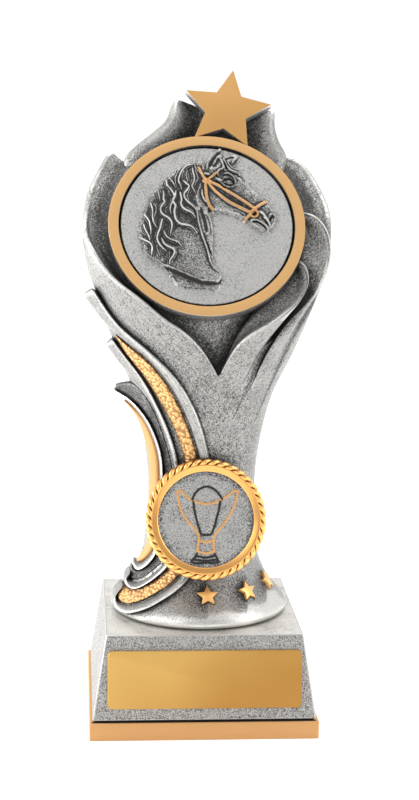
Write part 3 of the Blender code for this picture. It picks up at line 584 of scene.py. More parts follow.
# %% The plate's painted sheen
# Painted reflection: the plate's colour runs from pale to deep across it, like a wide lamp mirrored in satin
# metal.
PAINTED_SHEEN_PALE, PAINTED_SHEEN_DEEP = (0.60, 0.37, 0.105, 1), (0.43, 0.22, 0.047, 1)
ACROSS, DOWN = 22.0, -45.0
painted_sheen = plate_gold.node_tree
at = painted_sheen.nodes["Texture Coordinate"].outputs["Object"]
place = node(painted_sheen, "ShaderNodeSeparateXYZ", {0: at})
slant = sums(painted_sheen, "ADD", sums(painted_sheen, "MULTIPLY", place.outputs["X"], ACROSS),
             sums(painted_sheen, "MULTIPLY", place.outputs["Z"], DOWN))
soft = sums(painted_sheen, "ADD", slant, noise_value(painted_sheen, at, 40.0, 1.0))
painted_sheen_colour = blend_colours(painted_sheen, spread(painted_sheen, soft, -0.9, 0.5), PAINTED_SHEEN_PALE, PAINTED_SHEEN_DEEP)
painted_sheen.links.new(painted_sheen_colour, painted_sheen.nodes["Principled BSDF"].inputs["Base Color"])
print("sheen across", plate.name)

# %% [markdown]
# ## Tower body
# Foot, neck and cup are one skin. Its cross-sections are half ellipses in front and behind, listed with
# their heights, and its rim rises and falls round the cup: lowest in the V at the front, highest behind.
# Over the rim the skin turns inwards as a rounded bead, drops down its inner wall and runs as a hollow
# floor to the ring. Such a free form is quicker and truer as a skin over rings than pulled by hand.

# %% Tower body
# Height, half width, centre x, centre y, depth in front, depth behind
PROFILE = np.array([
    (27.8, 24.2, 0.0, 0.0, 24.6, 24.0), (30.5, 23.4, 0.0, 0.0, 23.6, 23.3),
    (35.2, 19.4, 0.0, 0.0, 19.4, 19.4), (42.0, 16.1, 0.1, 0.0, 16.0, 16.0),
    (50.0, 14.9, 0.2, 0.0, 14.9, 14.8), (63.5, 14.5, 0.3, 0.0, 14.5, 14.5),
    (76.0, 16.0, 0.3, 0.0, 15.2, 15.2), (87.0, 18.7, 0.4, -0.5, 16.2, 16.6),
    (97.5, 23.2, 0.7, -1.5, 17.0, 18.5), (106.0, 26.5, 0.8, -3.0, 17.8, 20.0),
    (113.7, 29.2, 0.9, -4.2, 18.0, 21.5), (120.5, 31.4, 0.8, -5.0, 18.0, 22.2),
    (128.0, 32.55, 0.6, -4.6, 17.0, 22.0), (135.0, 32.82, 0.6, -2.0, 15.0, 20.5),
    (142.0, 32.5, 0.7, 1.8, 12.0, 18.0), (150.0, 31.7, 0.9, 6.0, 10.0, 13.5),
])
# The V at the front is lowest here, in degrees round from the front towards +X
V_BOTTOM = 6.4
# Degrees round and height of the rim
RIM = np.array([
    (-180, 151.0), (-165, 150.5), (-150, 148.5), (-138, 147.0), (-130, 148.6), (-125, 149.7),
    (-116, 145.0), (-105, 139.5), (-98, 134.5), (-88, 131.0), (-72, 126.3), (-56, 119.6),
    (-39, 114.2), (-25, 109.0), (-16, 106.3), (-8, 102.9), (0, 98.3), (V_BOTTOM, 94.2),
    (18, 97.5), (35, 102.0), (50, 107.0), (60, 112.0), (70, 119.0), (80, 128.0), (90, 134.5),
    (100, 138.5), (109, 142.1), (121, 146.9), (133, 148.8), (141, 147.6), (150, 148.2),
    (165, 150.5), (180, 151.0),
])
FOOT_LOW = 27.8
# The foot's lowest edge: how far up, and how far outward
FOOT_EDGE = [(0.0, -1.2), (0.35, -0.5), (1.0, 0.0)]
FOOT_EDGE_HIGH = 1.8
# The bead of the rim: how far outward, and how far up, from the skin's top edge
BEAD = [(0.0, -0.7), (-0.12, -0.3), (-0.4, -0.08), (-0.8, 0.0), (-1.2, -0.12), (-1.5, -0.5), (-1.7, -1.0)]

# %% The disc's seat, where the cup's floor ends
DISC_RADIUS = 22.6
DISC_SLACK = 0.4
DISC_THICK = 1.5
DISC_SUNK = 0.6
RING_WIDTH = 2.7
RING_LEAN = math.radians(30.0)
RING_CENTRE = np.array([0.3, -8.0, 132.5])
SEAT = -(DISC_SUNK + DISC_THICK + 0.3)
ring_up = np.array([0.0, math.sin(RING_LEAN), math.cos(RING_LEAN)])
ring_out = np.array([0.0, -math.cos(RING_LEAN), math.sin(RING_LEAN)])


def on_ring(flat, height=0.0):
    """Points given right, up and outward in the ring's own plane."""
    flat = np.atleast_2d(np.asarray(flat, float))
    height = np.broadcast_to(np.asarray(height, float), flat.shape[:1])
    right = flat[:, :1] * np.array([1.0, 0, 0])
    return RING_CENTRE + right + flat[:, 1:2] * ring_up + height[:, None] * ring_out


print("seat", round(-SEAT, 2), "mm behind the ring's face")


# %% Places on the body
def section_at(height):
    """Half width, centre x, centre y and the two depths of the body's section at a height."""
    return [smooth_between(PROFILE[:, 0], PROFILE[:, column], height) for column in range(1, 6)]


def body_point(angle, height, outward=0.0):
    """A point on the body at an angle round from the front, moved outward."""
    half, x, y, front, back = section_at(height)
    deep = np.where(np.cos(angle) > 0, front, back)
    return np.stack([x + (half + outward) * np.sin(angle), y - (deep + outward) * np.cos(angle),
                     np.asarray(height, float) + 0.0 * angle], axis=-1)


def front_point(x, height, outward=0.0):
    """The point that lies on the body's front at x, or on its tangent past the side."""
    half, middle, y, front, _ = section_at(height)
    share = np.abs((np.asarray(x, float) - middle) / (half + outward))
    last = 0.9
    round_part = np.sqrt(1 - np.minimum(share, last) ** 2)
    past = np.maximum(share - last, 0.0) * last / math.sqrt(1 - last**2)
    return np.stack([np.asarray(x, float), y - (front + outward) * (round_part - past),
                     np.asarray(height, float)], axis=-1)


def rim_height(degrees):
    """The rim's height on two smooth lines that meet sharply at the V."""
    cut = int(np.argmin(RIM[:, 1]))
    return np.where(degrees <= V_BOTTOM,
                    smooth_between(RIM[:cut + 1, 0], RIM[:cut + 1, 1], degrees),
                    smooth_between(RIM[cut:, 0], RIM[cut:, 1], degrees))


print("widest", 2 * PROFILE[:, 1].max(), "mm")

# %% The skin of the body
# How much stain the cup's inside holds: down from the rim, and round from the front
STAIN_DOWN = ([0.0, 0.03, 0.16, 0.7, 1.0], [0.0, 0.2, 1.0, 0.9, 1.0])
STAIN_ROUND = ([-180, -145, -120, -80, -50, -25, 60, 80, 110, 140, 180],
               [0.8, 1.2, 2.0, 2.0, 1.4, 0.8, 0.8, 1.6, 2.4, 1.6, 0.8])
# How deep the inner wall is scooped out, and by which share of its way it is
SCOOP, SCOOPED_BY = 2.4, 0.16


def make_body(columns=340, rows=170, floor_rows=40):
    """The skin from the foot's edge up to the rim, over its bead and down inside to the disc's seat."""
    left = np.linspace(-180.0, V_BOTTOM, columns // 2, endpoint=False)
    right = np.linspace(V_BOTTOM, 180.0, columns - columns // 2, endpoint=False)
    degrees = np.concatenate([left, right])
    angle, rim = np.radians(degrees), rim_height(degrees)
    rings = [body_point(angle, np.full(len(angle), FOOT_LOW + up), out) for up, out in FOOT_EDGE]
    start = FOOT_LOW + FOOT_EDGE_HIGH
    for share in np.linspace(0.0, 1.0, rows):
        rings.append(body_point(angle, start + (rim + BEAD[0][1] - start) * share))
    for out, up in BEAD[1:]:
        rings.append(body_point(angle, rim + up, out))
    begin = rings[-1]
    seat = RING_CENTRE + ring_out * SEAT
    flat = np.stack([(begin - seat)[:, 0], (begin - seat) @ ring_up], axis=1)
    goal = on_ring(flat / np.linalg.norm(flat, axis=1)[:, None] * (DISC_RADIUS + DISC_SLACK), SEAT)
    inward = body_point(angle, rim + BEAD[-1][1], BEAD[-1][0] - 1.0) - begin
    inside = [0.0] * len(rings)
    for share in np.linspace(0.0, 1.0, floor_rows)[1:]:
        inside.append(float(smooth_between(*STAIN_DOWN, share)))
        drop = SCOOP * (1 - (1 - min(share / SCOOPED_BY, 1.0)) ** 2) * (1 - share) ** 0.5
        rings.append(begin + (goal - begin) * share + inward * drop * 0.55 - ring_out * drop * 0.5)
    piece = skin("tower_body", rings, inside=np.outer(inside, smooth_between(*STAIN_ROUND, degrees)))
    return belongs(piece, "tower", silver)


body = make_body()

# %% [markdown]
# ## Petals
# Two spoon-shaped petals fold over the cup's right side, one in front of the other. Each is a cage of
# cross-sections from its outer foot, over its rounded rim and down its hollow face to the ring, and three
# rounds of subdivision turn the cage into a smooth casting.

# %% Petals
# Right and height, as seen from the front
PETAL_ONE_RIM = [(3.2, 94.2), (5.4, 98.9), (7.6, 102.6), (10.8, 105.4), (14.9, 107.4),
                 (19.4, 110.2), (23.6, 113.6), (25.9, 118.0), (25.2, 121.6), (22.2, 123.5)]
PETAL_ONE_GROOVE = [(6.4, 82.0), (8.6, 87.0), (10.6, 91.6), (13.4, 98.6), (16.8, 104.2),
                    (20.8, 109.4), (24.4, 113.8), (26.7, 118.2), (26.0, 122.6), (22.4, 124.5)]
PETAL_TWO_RIM = [(9.6, 84.0), (12.4, 92.0), (16.4, 101.0), (21.4, 108.4), (27.2, 113.2),
                 (30.7, 119.6), (32.1, 126.0), (31.2, 131.0), (28.0, 134.3), (24.0, 134.6)]
PETAL_TWO_GROOVE = [(12.6, 80.4), (15.6, 87.2), (18.6, 95.0), (22.6, 104.0), (28.0, 113.0),
                    (31.6, 119.4), (33.0, 126.2), (32.0, 131.8), (28.4, 135.2), (24.0, 135.6)]
PETAL_BEHIND = 1.8
# How much more stain lies on each point of a petal's section, from its rim over its outside to its inside
PETAL_STAIN = [0, 0, 0, 0, 0.5, 0.5, 0.4, 0.2, 0]


def behind_ring(points):
    """Moves points that would stand in front of the ring straight back behind its face."""
    proud = (points - RING_CENTRE) @ ring_out + PETAL_BEHIND
    return points + np.maximum(proud, 0.0)[..., None] * np.array([0.0, 1.0, 0.0]) / -ring_out[1]


def make_petal(name, rim, groove, seat_from, seat_to, proud, count=26):
    """A petal between its rim, its outer groove and an arc of the disc's seat, given in degrees."""
    rim_line, groove_line = along(rim, count), along(groove, count)
    share = np.linspace(0.0, 1.0, count)
    lift = smooth_between([0.0, 0.3, 1.0], [-1.0, proud, proud], share)
    turns = np.radians(np.linspace(seat_from, seat_to, count))
    reach = DISC_RADIUS + DISC_SLACK
    seat = on_ring(np.stack([reach * np.cos(turns), reach * np.sin(turns)], axis=1), SEAT)
    grown = smooth_between([0.0, 0.12, 0.45, 1.0], [0.05, 0.15, 1.0, 1.0], share)
    rings = []
    for step in range(count):
        top = behind_ring(front_point(*rim_line[step], lift[step] + 0.6))
        low = behind_ring(front_point(*groove_line[step], lift[step]))
        root = behind_ring(front_point(*groove_line[step], -3.0) + np.array([0, 3.0, 0]))
        inner = top + (seat[step] - top) * 0.8 * grown[step] - ring_out * (1 + 3 * (1 - grown[step]))
        across = (low - top) / np.linalg.norm(low - top)
        face = (inner - top) / np.linalg.norm(inner - top)
        middle = (top + low) / 2 + ring_out * 0.5
        hollow = (top + inner) / 2 - ring_out * 1.2
        below_rim = top + face * 1.6 - ring_out * 0.9
        on_rim = top + face * 0.45 - ring_out * 0.1
        rings.append(np.array([top + across * 0.35, middle, low, root, inner - ring_out * 3.5, inner,
                               hollow, below_rim, on_rim]))
    piece = skin(name, rings, levels=3, inside=np.tile(PETAL_STAIN, count))
    return belongs(piece, "tower", silver)


petals = [
    make_petal("petal_two", PETAL_TWO_RIM, PETAL_TWO_GROOVE, -62.0, 4.0, 0.5),
    make_petal("petal_one", PETAL_ONE_RIM, PETAL_ONE_GROOVE, -86.0, -22.0, 1.2),
]

# %% [markdown]
# ## Ribbons
# Silver and gold ribbons spring from the tower's left side as free tips, sweep down in one curve behind
# the medallion and end round the foot. Each is drawn between two edges, listed point against point, and
# neighbours follow the same line where they touch, so one such line is listed once. The silver ones are
# rounded beads and the gold ones flat bands set a little lower between them.

# %% Edges of the ribbons
# Right and height, as seen from the front
DOWN_TO_FOOT = [
    (-15.6, 98.2), (-9.6, 91.2), (-5.0, 82.4), (-1.9, 73.4), (-0.4, 65.0), (-0.8, 55.0), (-2.8, 46.5),
    (-6.2, 40.0), (-10.5, 36.1), (-17.2, 32.2), (-20.9, 30.8), (-22.6, 30.9), (-22.8, 31.9), (-21.9, 33.2),
]
EDGES = {
    "silver one right": [
        (-29.2, 116.2), (-23.0, 107.6), (-14.2, 100.2), (-7.4, 93.4), (-2.4, 85.0), (0.6, 76.0),
        (2.2, 66.0), (2.2, 55.0), (-0.6, 45.0), (-4.7, 38.4), (-10.1, 34.3), (-17.9, 30.2), (-22.6, 28.6),
        (-24.4, 29.6), (-24.2, 31.2), (-22.6, 33.0), (-20.9, 34.9),
    ],
    "silver one left": [
        (-32.2, 113.4), (-25.0, 104.9), *DOWN_TO_FOOT, (-20.6, 34.3),
    ],
    "gold one right": [
        (-23.3, 103.8), (-20.2, 101.4), *DOWN_TO_FOOT,
    ],
    "gold one left": [
        (-23.5, 103.2), (-20.6, 98.4), (-16.2, 92.9), (-12.0, 86.2), (-8.3, 79.5), (-5.7, 72.0),
        (-4.4, 64.0), (-4.9, 55.0), (-6.6, 47.0), (-9.1, 41.9), (-12.3, 38.6), (-15.6, 36.1),
        (-17.8, 34.7), (-20.0, 34.2), (-20.8, 34.1), (-21.3, 34.0),
    ],
    "silver two right": [
        (-24.0, 102.8), (-20.6, 98.4), (-16.2, 92.9), (-12.6, 86.6), (-9.3, 79.5), (-6.9, 72.0),
        (-5.6, 64.0), (-5.9, 55.0), (-7.0, 47.0), (-9.1, 41.9), (-12.3, 38.6), (-15.2, 36.3),
        (-17.8, 34.7), (-20.1, 34.2), (-21.2, 34.9), (-20.3, 36.5), (-18.9, 38.0),
    ],
    "silver two left": [
        (-26.2, 100.0), (-22.0, 94.6), (-17.6, 90.4), (-14.0, 85.4), (-11.0, 78.6), (-8.7, 71.4),
        (-7.3, 63.6), (-7.5, 55.4), (-8.4, 47.6), (-10.2, 43.0), (-12.8, 39.9), (-15.2, 37.7),
        (-17.1, 36.3), (-18.9, 35.7), (-19.7, 36.2), (-19.3, 37.2), (-18.6, 38.0),
    ],
    "leaf right": [
        (-22.9, 88.1), (-19.0, 90.4), (-16.4, 88.8), (-13.6, 84.8), (-11.0, 78.6), (-8.7, 71.4),
        (-7.3, 63.6), (-7.5, 55.4), (-8.5, 47.8), (-10.4, 43.2), (-13.0, 40.1), (-15.4, 37.9),
        (-17.3, 36.5), (-18.9, 36.0), (-19.4, 36.6),
    ],
    "silver three right": [
        (-23.2, 87.0), (-19.0, 85.4), (-15.0, 81.6), (-12.3, 76.5), (-10.8, 71.4), (-10.3, 66.0),
        (-10.3, 60.0), (-10.6, 54.0), (-11.2, 48.6), (-12.2, 44.4), (-13.9, 41.6), (-16.3, 39.2),
        (-17.5, 38.5), (-18.4, 39.0), (-18.3, 40.0),
    ],
    "silver three left": [
        (-23.6, 86.2), (-19.4, 83.9), (-16.0, 80.4), (-13.4, 75.6), (-12.1, 71.0), (-11.7, 66.0),
        (-11.7, 60.0), (-11.9, 54.0), (-12.4, 49.0), (-13.2, 45.2), (-14.6, 42.8), (-16.3, 40.9),
        (-17.1, 40.5), (-17.5, 40.6), (-17.7, 40.9),
    ],
    "gold two right": [
        (-21.0, 84.9), (-18.4, 82.9), (-16.0, 80.4), (-13.4, 75.6), (-12.1, 71.0), (-11.7, 66.0),
        (-11.7, 60.0), (-11.9, 54.0), (-12.4, 49.0), (-13.2, 45.4), (-14.6, 43.0), (-16.2, 41.2),
        (-17.0, 40.8),
    ],
    "gold two left": [
        (-21.2, 84.4), (-19.4, 82.6), (-17.7, 80.2), (-16.0, 75.6), (-15.0, 71.0), (-14.6, 66.0),
        (-14.6, 60.0), (-14.6, 54.0), (-14.8, 49.4), (-15.2, 46.4), (-16.2, 43.8), (-17.2, 42.0),
        (-17.7, 41.1),
    ],
}
print(len(EDGES), "edges")

# %% Ribbons
# How deep each ribbon is rooted in the body
ROOT_DEPTH = 2.4


def side_by_side(right, left, count):
    """Points spread evenly along two edges that are listed point against point."""
    right, left = np.asarray(right, float), np.asarray(left, float)
    steps = [np.linalg.norm(np.diff(edge, axis=0), axis=1) for edge in (right, left)]
    length = np.concatenate([[0.0], np.cumsum((steps[0] + steps[1]) / 2)])
    at = np.linspace(0.0, length[-1], count)
    return [np.stack([smooth_between(length, column, at) for column in edge.T], axis=1)
            for edge in (right, left)]


def make_ribbon(name, edge, proud, crown, surface, gap=0.12, tuck=0.0, count=60, across=4):
    """A band between two edges that stands proud of the body, with its middle raised by crown.

    Gap keeps it off its neighbours, and tuck draws its hidden underside in towards the middle."""
    rings = []
    for a, b in zip(*side_by_side(EDGES[edge[0]], EDGES[edge[1]], count)):
        inset = (b - a) / np.linalg.norm(b - a) * gap
        a, b = a + inset, b - inset
        share = np.linspace(0.0, 1.0, across + 1)
        line = a + (b - a) * share[:, None]
        top = front_point(line[:, 0], line[:, 1], proud + crown * 4 * share * (1 - share))
        low = front_point(line[:, 0] * (1 - tuck), line[:, 1], -ROOT_DEPTH)
        rings.append(np.concatenate([top, low[::-2]]))
    piece = skin(name, rings, levels=2)
    return belongs(piece, "tower", surface)


ribbons = [
    make_ribbon("silver_ribbon_one", ("silver one right", "silver one left"), 0.9, 0.7, silver),
    make_ribbon("gold_ribbon_one", ("gold one right", "gold one left"), 0.55, 0.25, hammered_gold, 0.25),
    make_ribbon("silver_ribbon_two", ("silver two right", "silver two left"), 0.8, 0.6, silver, 0.2),
    make_ribbon("dark_leaf", ("leaf right", "silver three right"), 0.35, -0.25, silver),
    make_ribbon("silver_ribbon_three", ("silver three right", "silver three left"), 0.8, 0.4, silver),
    make_ribbon("gold_ribbon_two", ("gold two right", "gold two left"), 0.6, 0.35, gold, tuck=0.25),
]

# %% [markdown]
# ## Flames
# Two flame tips rise behind the ring, one on each side of the star. Each is a thick leaf with a bright
# rounded outer edge and a dark hollow face turned to the star.

# %% Flames
# Outer edge, then inner edge, as x, depth and height
FLAME_LEFT = ([(-16.0, 5.0, 136.0), (-20.5, 8.0, 144.0), (-21.0, 9.2, 148.4), (-18.4, 9.6, 151.3),
               (-13.4, 11.0, 155.2), (-9.6, 12.6, 158.6), (-8.2, 13.8, 162.4), (-7.0, 14.4, 164.3)],
              [(3.0, 12.0, 136.0), (4.0, 11.0, 144.0), (4.6, 11.5, 151.0), (4.4, 12.2, 155.6),
               (2.6, 13.4, 159.4), (-1.4, 14.2, 162.2), (-4.8, 14.6, 163.4)])
FLAME_RIGHT = ([(18.0, 4.0, 136.0), (21.5, 8.0, 144.0), (22.8, 9.2, 149.2), (21.0, 10.8, 152.8),
                (19.8, 12.4, 156.6), (19.7, 13.6, 159.4), (20.0, 14.4, 161.4)],
               [(2.0, 12.0, 136.0), (3.0, 11.0, 144.0), (4.0, 11.0, 150.0), (6.4, 11.8, 154.4),
                (9.4, 12.8, 157.8), (13.0, 13.8, 160.2), (16.8, 14.6, 161.4)])
# How far the front face stands forward, from the outer edge to the inner one
FLAME_FACE = [(0.0, 0.0), (0.06, 1.5), (0.22, 2.6), (0.42, 1.6), (0.58, -0.6), (0.78, -1.8), (1.0, 0.0)]
# How much darker each point of the section is made, its front face, then its back: stain in the hollow face
# and painted shade under the star
FLAME_STAIN_AND_SHADE = [0, 0, 0, 0.1, 0.8, 1.0, 0.8, 0.4, 0, 0, 0, 0]


def make_flame(name, outer, inner, count=22, thick=4.5):
    """A leaf between two edges, with a shaped front and a rounded back."""
    rings = []
    across, forward = np.array(FLAME_FACE).T
    for a, b in zip(along(outer, count), along(inner, count)):
        width = np.linalg.norm(b - a)
        front = a + (b - a) * across[:, None]
        front[:, 1] -= forward * min(1.0, width * 0.12)
        share = np.linspace(1.0, 0.0, 5)
        back = a + (b - a) * share[:, None]
        back[:, 1] += min(thick, width * 0.8) * (0.25 + 3.0 * share * (1 - share))
        rings.append(np.concatenate([front, back]))
    piece = skin(name, rings, levels=2, inside=np.tile(FLAME_STAIN_AND_SHADE, count))
    return belongs(piece, "tower", silver)


flames = [make_flame("left_flame", *FLAME_LEFT), make_flame("right_flame", *FLAME_RIGHT)]

# %% [markdown]
# ## Ring and star
# The ring is a shallow round tray: a disc whose top is inset and pushed down, with softened edges.
# The star stands on it. It starts as a ten-sided disc, every second corner is drawn in, and the face is
# raised and bevelled. Their faces are gold and their sides were left silver, so each has two finishes.

# %% Tray and star by hand
STAR_WAIST = 0.47


def make_tray(name, outer, inner, height, deep, edge, sides=144):
    """A round tray by hand: its floor is deep below its rim, and its rim's edges are bevelled."""
    bpy.ops.mesh.primitive_cylinder_add(vertices=sides, radius=outer * MM, depth=height * MM,
                                        location=(0, 0, -height / 2 * MM))
    piece = new_shape(name)
    edit(piece)
    pick(piece, faces=lambda centre, normal: normal.z > UPWARD)
    bpy.ops.mesh.inset(thickness=(outer - inner) * MM)
    bpy.ops.mesh.extrude_region_move(TRANSFORM_OT_translate={"value": (0, 0, -deep * MM)})
    pick(piece, edges=lambda a, b: min(a.z, b.z) > -TINY and abs(a.xy.length - b.xy.length) < 10 * TINY)
    bpy.ops.mesh.bevel(offset=edge * MM, segments=3)
    finish_by_hand(piece)
    return piece


def make_star(name, radius, thick, edge):
    """A five-pointed star by hand, its face at height 0 and one point towards +Y."""
    bpy.ops.mesh.primitive_circle_add(vertices=10, radius=radius * MM, fill_type="NGON",
                                      location=(0, 0, -thick * MM))
    piece = new_shape(name)
    edit(piece)
    pick(piece, points=lambda p: round((math.atan2(p.y, p.x) - math.pi / 2) / (math.pi / 5)) % 2 == 1)
    bpy.ops.transform.resize(value=(STAR_WAIST, STAR_WAIST, 1.0), center_override=(0, 0, -thick * MM))
    bpy.ops.mesh.select_mode(type="FACE")
    bpy.ops.mesh.select_all(action="SELECT")
    bpy.ops.mesh.extrude_region_move(TRANSFORM_OT_translate={"value": (0, 0, thick * MM)})
    pick(piece, edges=lambda a, b: min(a.z, b.z) > -TINY)
    bpy.ops.mesh.bevel(offset=edge * MM, segments=2)
    finish_by_hand(piece)
    return piece


def paint_faces(piece, paint, test):
    """Puts a second finish on the piece's faces that pass a test on centre and normal."""
    piece.data.materials.append(paint)
    for face in piece.data.polygons:
        face.material_index = int(test(face.center, face.normal))


# %% Ring
RING_OUTER = DISC_RADIUS + DISC_SLACK + RING_WIDTH
RING_THICK = 3.4
FACING = 0.3

ring_matrix = leaning_matrix(RING_CENTRE, RING_LEAN)
ring = make_tray("ring", RING_OUTER, DISC_RADIUS + DISC_SLACK, RING_THICK, -SEAT, 0.28)
belongs(ring, "tower", silver)
paint_faces(ring, ring_gold, lambda centre, normal: normal.z > FACING and centre.z > -1.0 * MM)
settle(ring, ring_matrix)

# %% [markdown]
# The star stands on the ring's upper edge, turned a little to the right and sunk into it by a millimetre.
# A small block of resin behind both ties them together, so that the star isn't held by its edge alone.

# %% Star and its web
STAR_RADIUS = 12.17
STAR_THICK = 2.6
STAR_TURN = math.radians(10.0)
STAR_SUNK = 1.3

star = make_star("star", STAR_RADIUS, STAR_THICK, 0.18)
belongs(star, "tower", silver)
# Its face takes the darker gold, which is painted shade.
paint_faces(star, painted_shade_star_gold, lambda centre, normal: normal.z > FACING)
star_reach = RING_OUTER + STAR_RADIUS * math.cos(math.pi / 5) - STAR_SUNK
star_place = Matrix.Rotation(-STAR_TURN, 4, "Z") @ Matrix.Translation((0, star_reach * MM, 0))
settle(star, ring_matrix @ star_place)

web_middle = Vector((0, (star_reach + DISC_RADIUS + 2.0) / 2, -3.9)) * MM
bpy.ops.mesh.primitive_cube_add(size=1.0, location=web_middle)
web = new_shape("star_web", Vector((STAR_RADIUS * 0.72, star_reach - DISC_RADIUS - 2.0, 3.6)) * MM)
edit(web)
pick(web, edges=lambda a, b: True)
bpy.ops.mesh.bevel(offset=0.5 * MM, segments=2)
finish_by_hand(web)
settle(web, ring_matrix @ Matrix.Rotation(-STAR_TURN, 4, "Z"))
belongs(web, "tower", silver)

# %% [markdown]
# ## Small stars
# Three small gold stars stand on the foot's slope. One is modelled and copied, and each copy is turned
# square to the foot where it sits.

# %% Small stars
SMALL_STAR_RADIUS = 2.9
SMALL_STAR_THICK = 1.6
SMALL_STAR_PROUD = 0.8
# Degrees round the foot, and height
SMALL_STARS = ((3.0, 35.5), (38.0, 35.6), (70.0, 36.1))


def foot_matrix(degrees, height, proud):
    """From a piece lying on the ground to the same piece square to the foot's slope."""
    here, above, beside = (Vector(body_point(np.radians(a), h)) for a, h in
                           ((degrees, height), (degrees, height + 0.5), (degrees + 3.0, height)))
    out = (beside - here).cross(above - here).normalized()
    side = (beside - here).normalized()
    turned = Matrix((side, out.cross(side), out)).transposed().to_4x4()
    return Matrix.Translation((here + out * proud) * MM) @ turned


star_gold = metal_paint("small star gold", (0.80, 0.47, 0.17), 0.4, 0.6,
                        stain_amounts(0.6, 0.1, 0.1, 0.2, -0.1), 0.1, GOLD_BROWN, 1.2)
first_star = make_star("small_star_0", SMALL_STAR_RADIUS, SMALL_STAR_THICK, 0.16)
small_stars = [first_star]
for index in (1, 2):
    small_stars.append(new_piece("small_star_%d" % index, first_star.data.copy()))
for small, (degrees, height) in zip(small_stars, SMALL_STARS):
    settle(small, foot_matrix(degrees, height, SMALL_STAR_PROUD))
    belongs(small, "tower", star_gold)

# %% [markdown]
# ## Reliefs
# The horse and the small cup are low reliefs, and a relief is easiest to make as a field of heights over
# a fine disc of points. A line of the drawing becomes a ridge or a groove whose height fades with the
# distance from the line. The same field says where the stain stays: wherever a point lies lower than
# the average round it.

# %% Lines and outlines on a disc
FAR = 99.0


def disc_grid(radius, count):
    """Count by count points that fill a disc evenly, as a square pulled round."""
    u = np.linspace(-1.0, 1.0, count)
    u, v = np.meshgrid(u, u)
    return np.stack([u * np.sqrt(1 - v**2 / 2), v * np.sqrt(1 - u**2 / 2)], axis=-1).reshape(-1, 2) * radius


def from_line(points, line, count=28, reach=2.5):
    """Each point's distance from a smooth line, within reach, and how far along the line it lies."""
    line = along(line, count)
    near, at = np.full(len(points), FAR), np.zeros(len(points))
    box_low, box_high = line.min(0) - reach, line.max(0) + reach
    inside = np.all((points > box_low) & (points < box_high), axis=1)
    some = points[inside]
    best, place = np.full(len(some), FAR), np.zeros(len(some))
    for i in range(len(line) - 1):
        way = line[i + 1] - line[i]
        t = np.clip((some - line[i]) @ way / max(way @ way, 1e-9), 0.0, 1.0)
        distance = np.linalg.norm(some - line[i] - t[:, None] * way, axis=1)
        closer = distance < best
        best[closer], place[closer] = distance[closer], ((i + t) / (len(line) - 1))[closer]
    near[inside], at[inside] = best, place
    return near, at


def ridge(points, line, width, taper=(0.12, 0.3)):
    """1 on the line, falling to 0 over its width, thinner towards both ends."""
    near, at = from_line(points, line)
    thin = np.minimum(1.0, at / taper[0] + 0.15) * np.minimum(1.0, (1 - at) / taper[1] + 0.15)
    return np.exp(-(near / (width * np.sqrt(thin) + 0.02)) ** 2) * thin**0.3


def inside_distance(points, outline):
    """How deep each point lies inside a closed outline, in millimetres, and 0 outside it."""
    outline = np.asarray(outline, float)
    closed = np.concatenate([outline, outline[:1]])
    near, crossed = np.full(len(points), FAR), np.zeros(len(points), bool)
    for a, b in zip(closed[:-1], closed[1:]):
        way = b - a
        t = np.clip((points - a) @ way / max(way @ way, 1e-9), 0.0, 1.0)
        near = np.minimum(near, np.linalg.norm(points - a - t[:, None] * way, axis=1))
        if a[1] != b[1]:
            spans = (a[1] > points[:, 1]) != (b[1] > points[:, 1])
            crossed ^= spans & (points[:, 0] < (b[0] - a[0]) * (points[:, 1] - a[1]) / (b[1] - a[1]) + a[0])
    return np.where(crossed, near, 0.0)


def rounded_rise(depth, width):
    """A step up with a round shoulder this wide."""
    share = np.clip(depth / width, 0.0, 1.0)
    return np.sqrt(1 - (1 - share) ** 2)


def softened(field, count, reach):
    """The average of a field of heights over about this many grid steps."""
    grid = field.reshape(count, count)
    span = np.arange(-3 * reach, 3 * reach + 1)
    weight = np.exp(-(span / reach) ** 2)
    weight /= weight.sum()
    for axis in (0, 1):
        margins = [(3 * reach, 3 * reach) if axis == a else (0, 0) for a in (0, 1)]
        padded = np.pad(grid, margins, mode="edge")
        grid = sum(w * np.take(padded, np.arange(k, k + count), axis=axis) for k, w in enumerate(weight))
    return grid.ravel()


# %% From heights to a disc
def relief_piece(name, points, count, height, thick, marks):
    """A disc with this relief on its face, its ground at height 0, and numbers on its points."""
    face_points = np.column_stack([points, height])
    border = np.concatenate([np.arange(count), np.arange(2 * count - 1, count * count, count),
                             np.arange(count * count - 2, count * (count - 1) - 1, -1),
                             np.arange(count * (count - 2), 0, -count)])
    skirt = np.column_stack([points[border], np.full(len(border), -thick)])
    row, column = np.meshgrid(np.arange(count - 1), np.arange(count - 1), indexing="ij")
    corner = (row * count + column).ravel()
    faces = np.stack([corner, corner + 1, corner + count + 1, corner + count], axis=1).tolist()
    low = len(points)
    size = len(border)
    for i in range(size):
        k = (i + 1) % size
        faces.append((border[k], border[i], low + i, low + k))
    faces.append(tuple(low + i for i in range(size - 1, -1, -1)))
    mesh = bpy.data.meshes.new(name)
    mesh.from_pydata((np.concatenate([face_points, skirt]) * MM).tolist(), [], faces)
    for label, values in marks.items():
        values = np.concatenate([values, np.zeros(size)])
        mesh.attributes.new(label, "FLOAT", "POINT").data.foreach_set("value", values.astype(np.float32))
    piece = new_piece(name, mesh)
    bpy.ops.object.shade_smooth_by_angle(angle=math.radians(75))
    return piece


# %% [markdown]
# ## Horse disc
# The head looks right, with pricked ears, a long waved mane and a bridle. Its outline gives the raised
# field a rounded edge. Every bright strand of the mane is one line here, in millimetres right and up
# from the disc's centre, with its width and height, and so are the folds of the face.

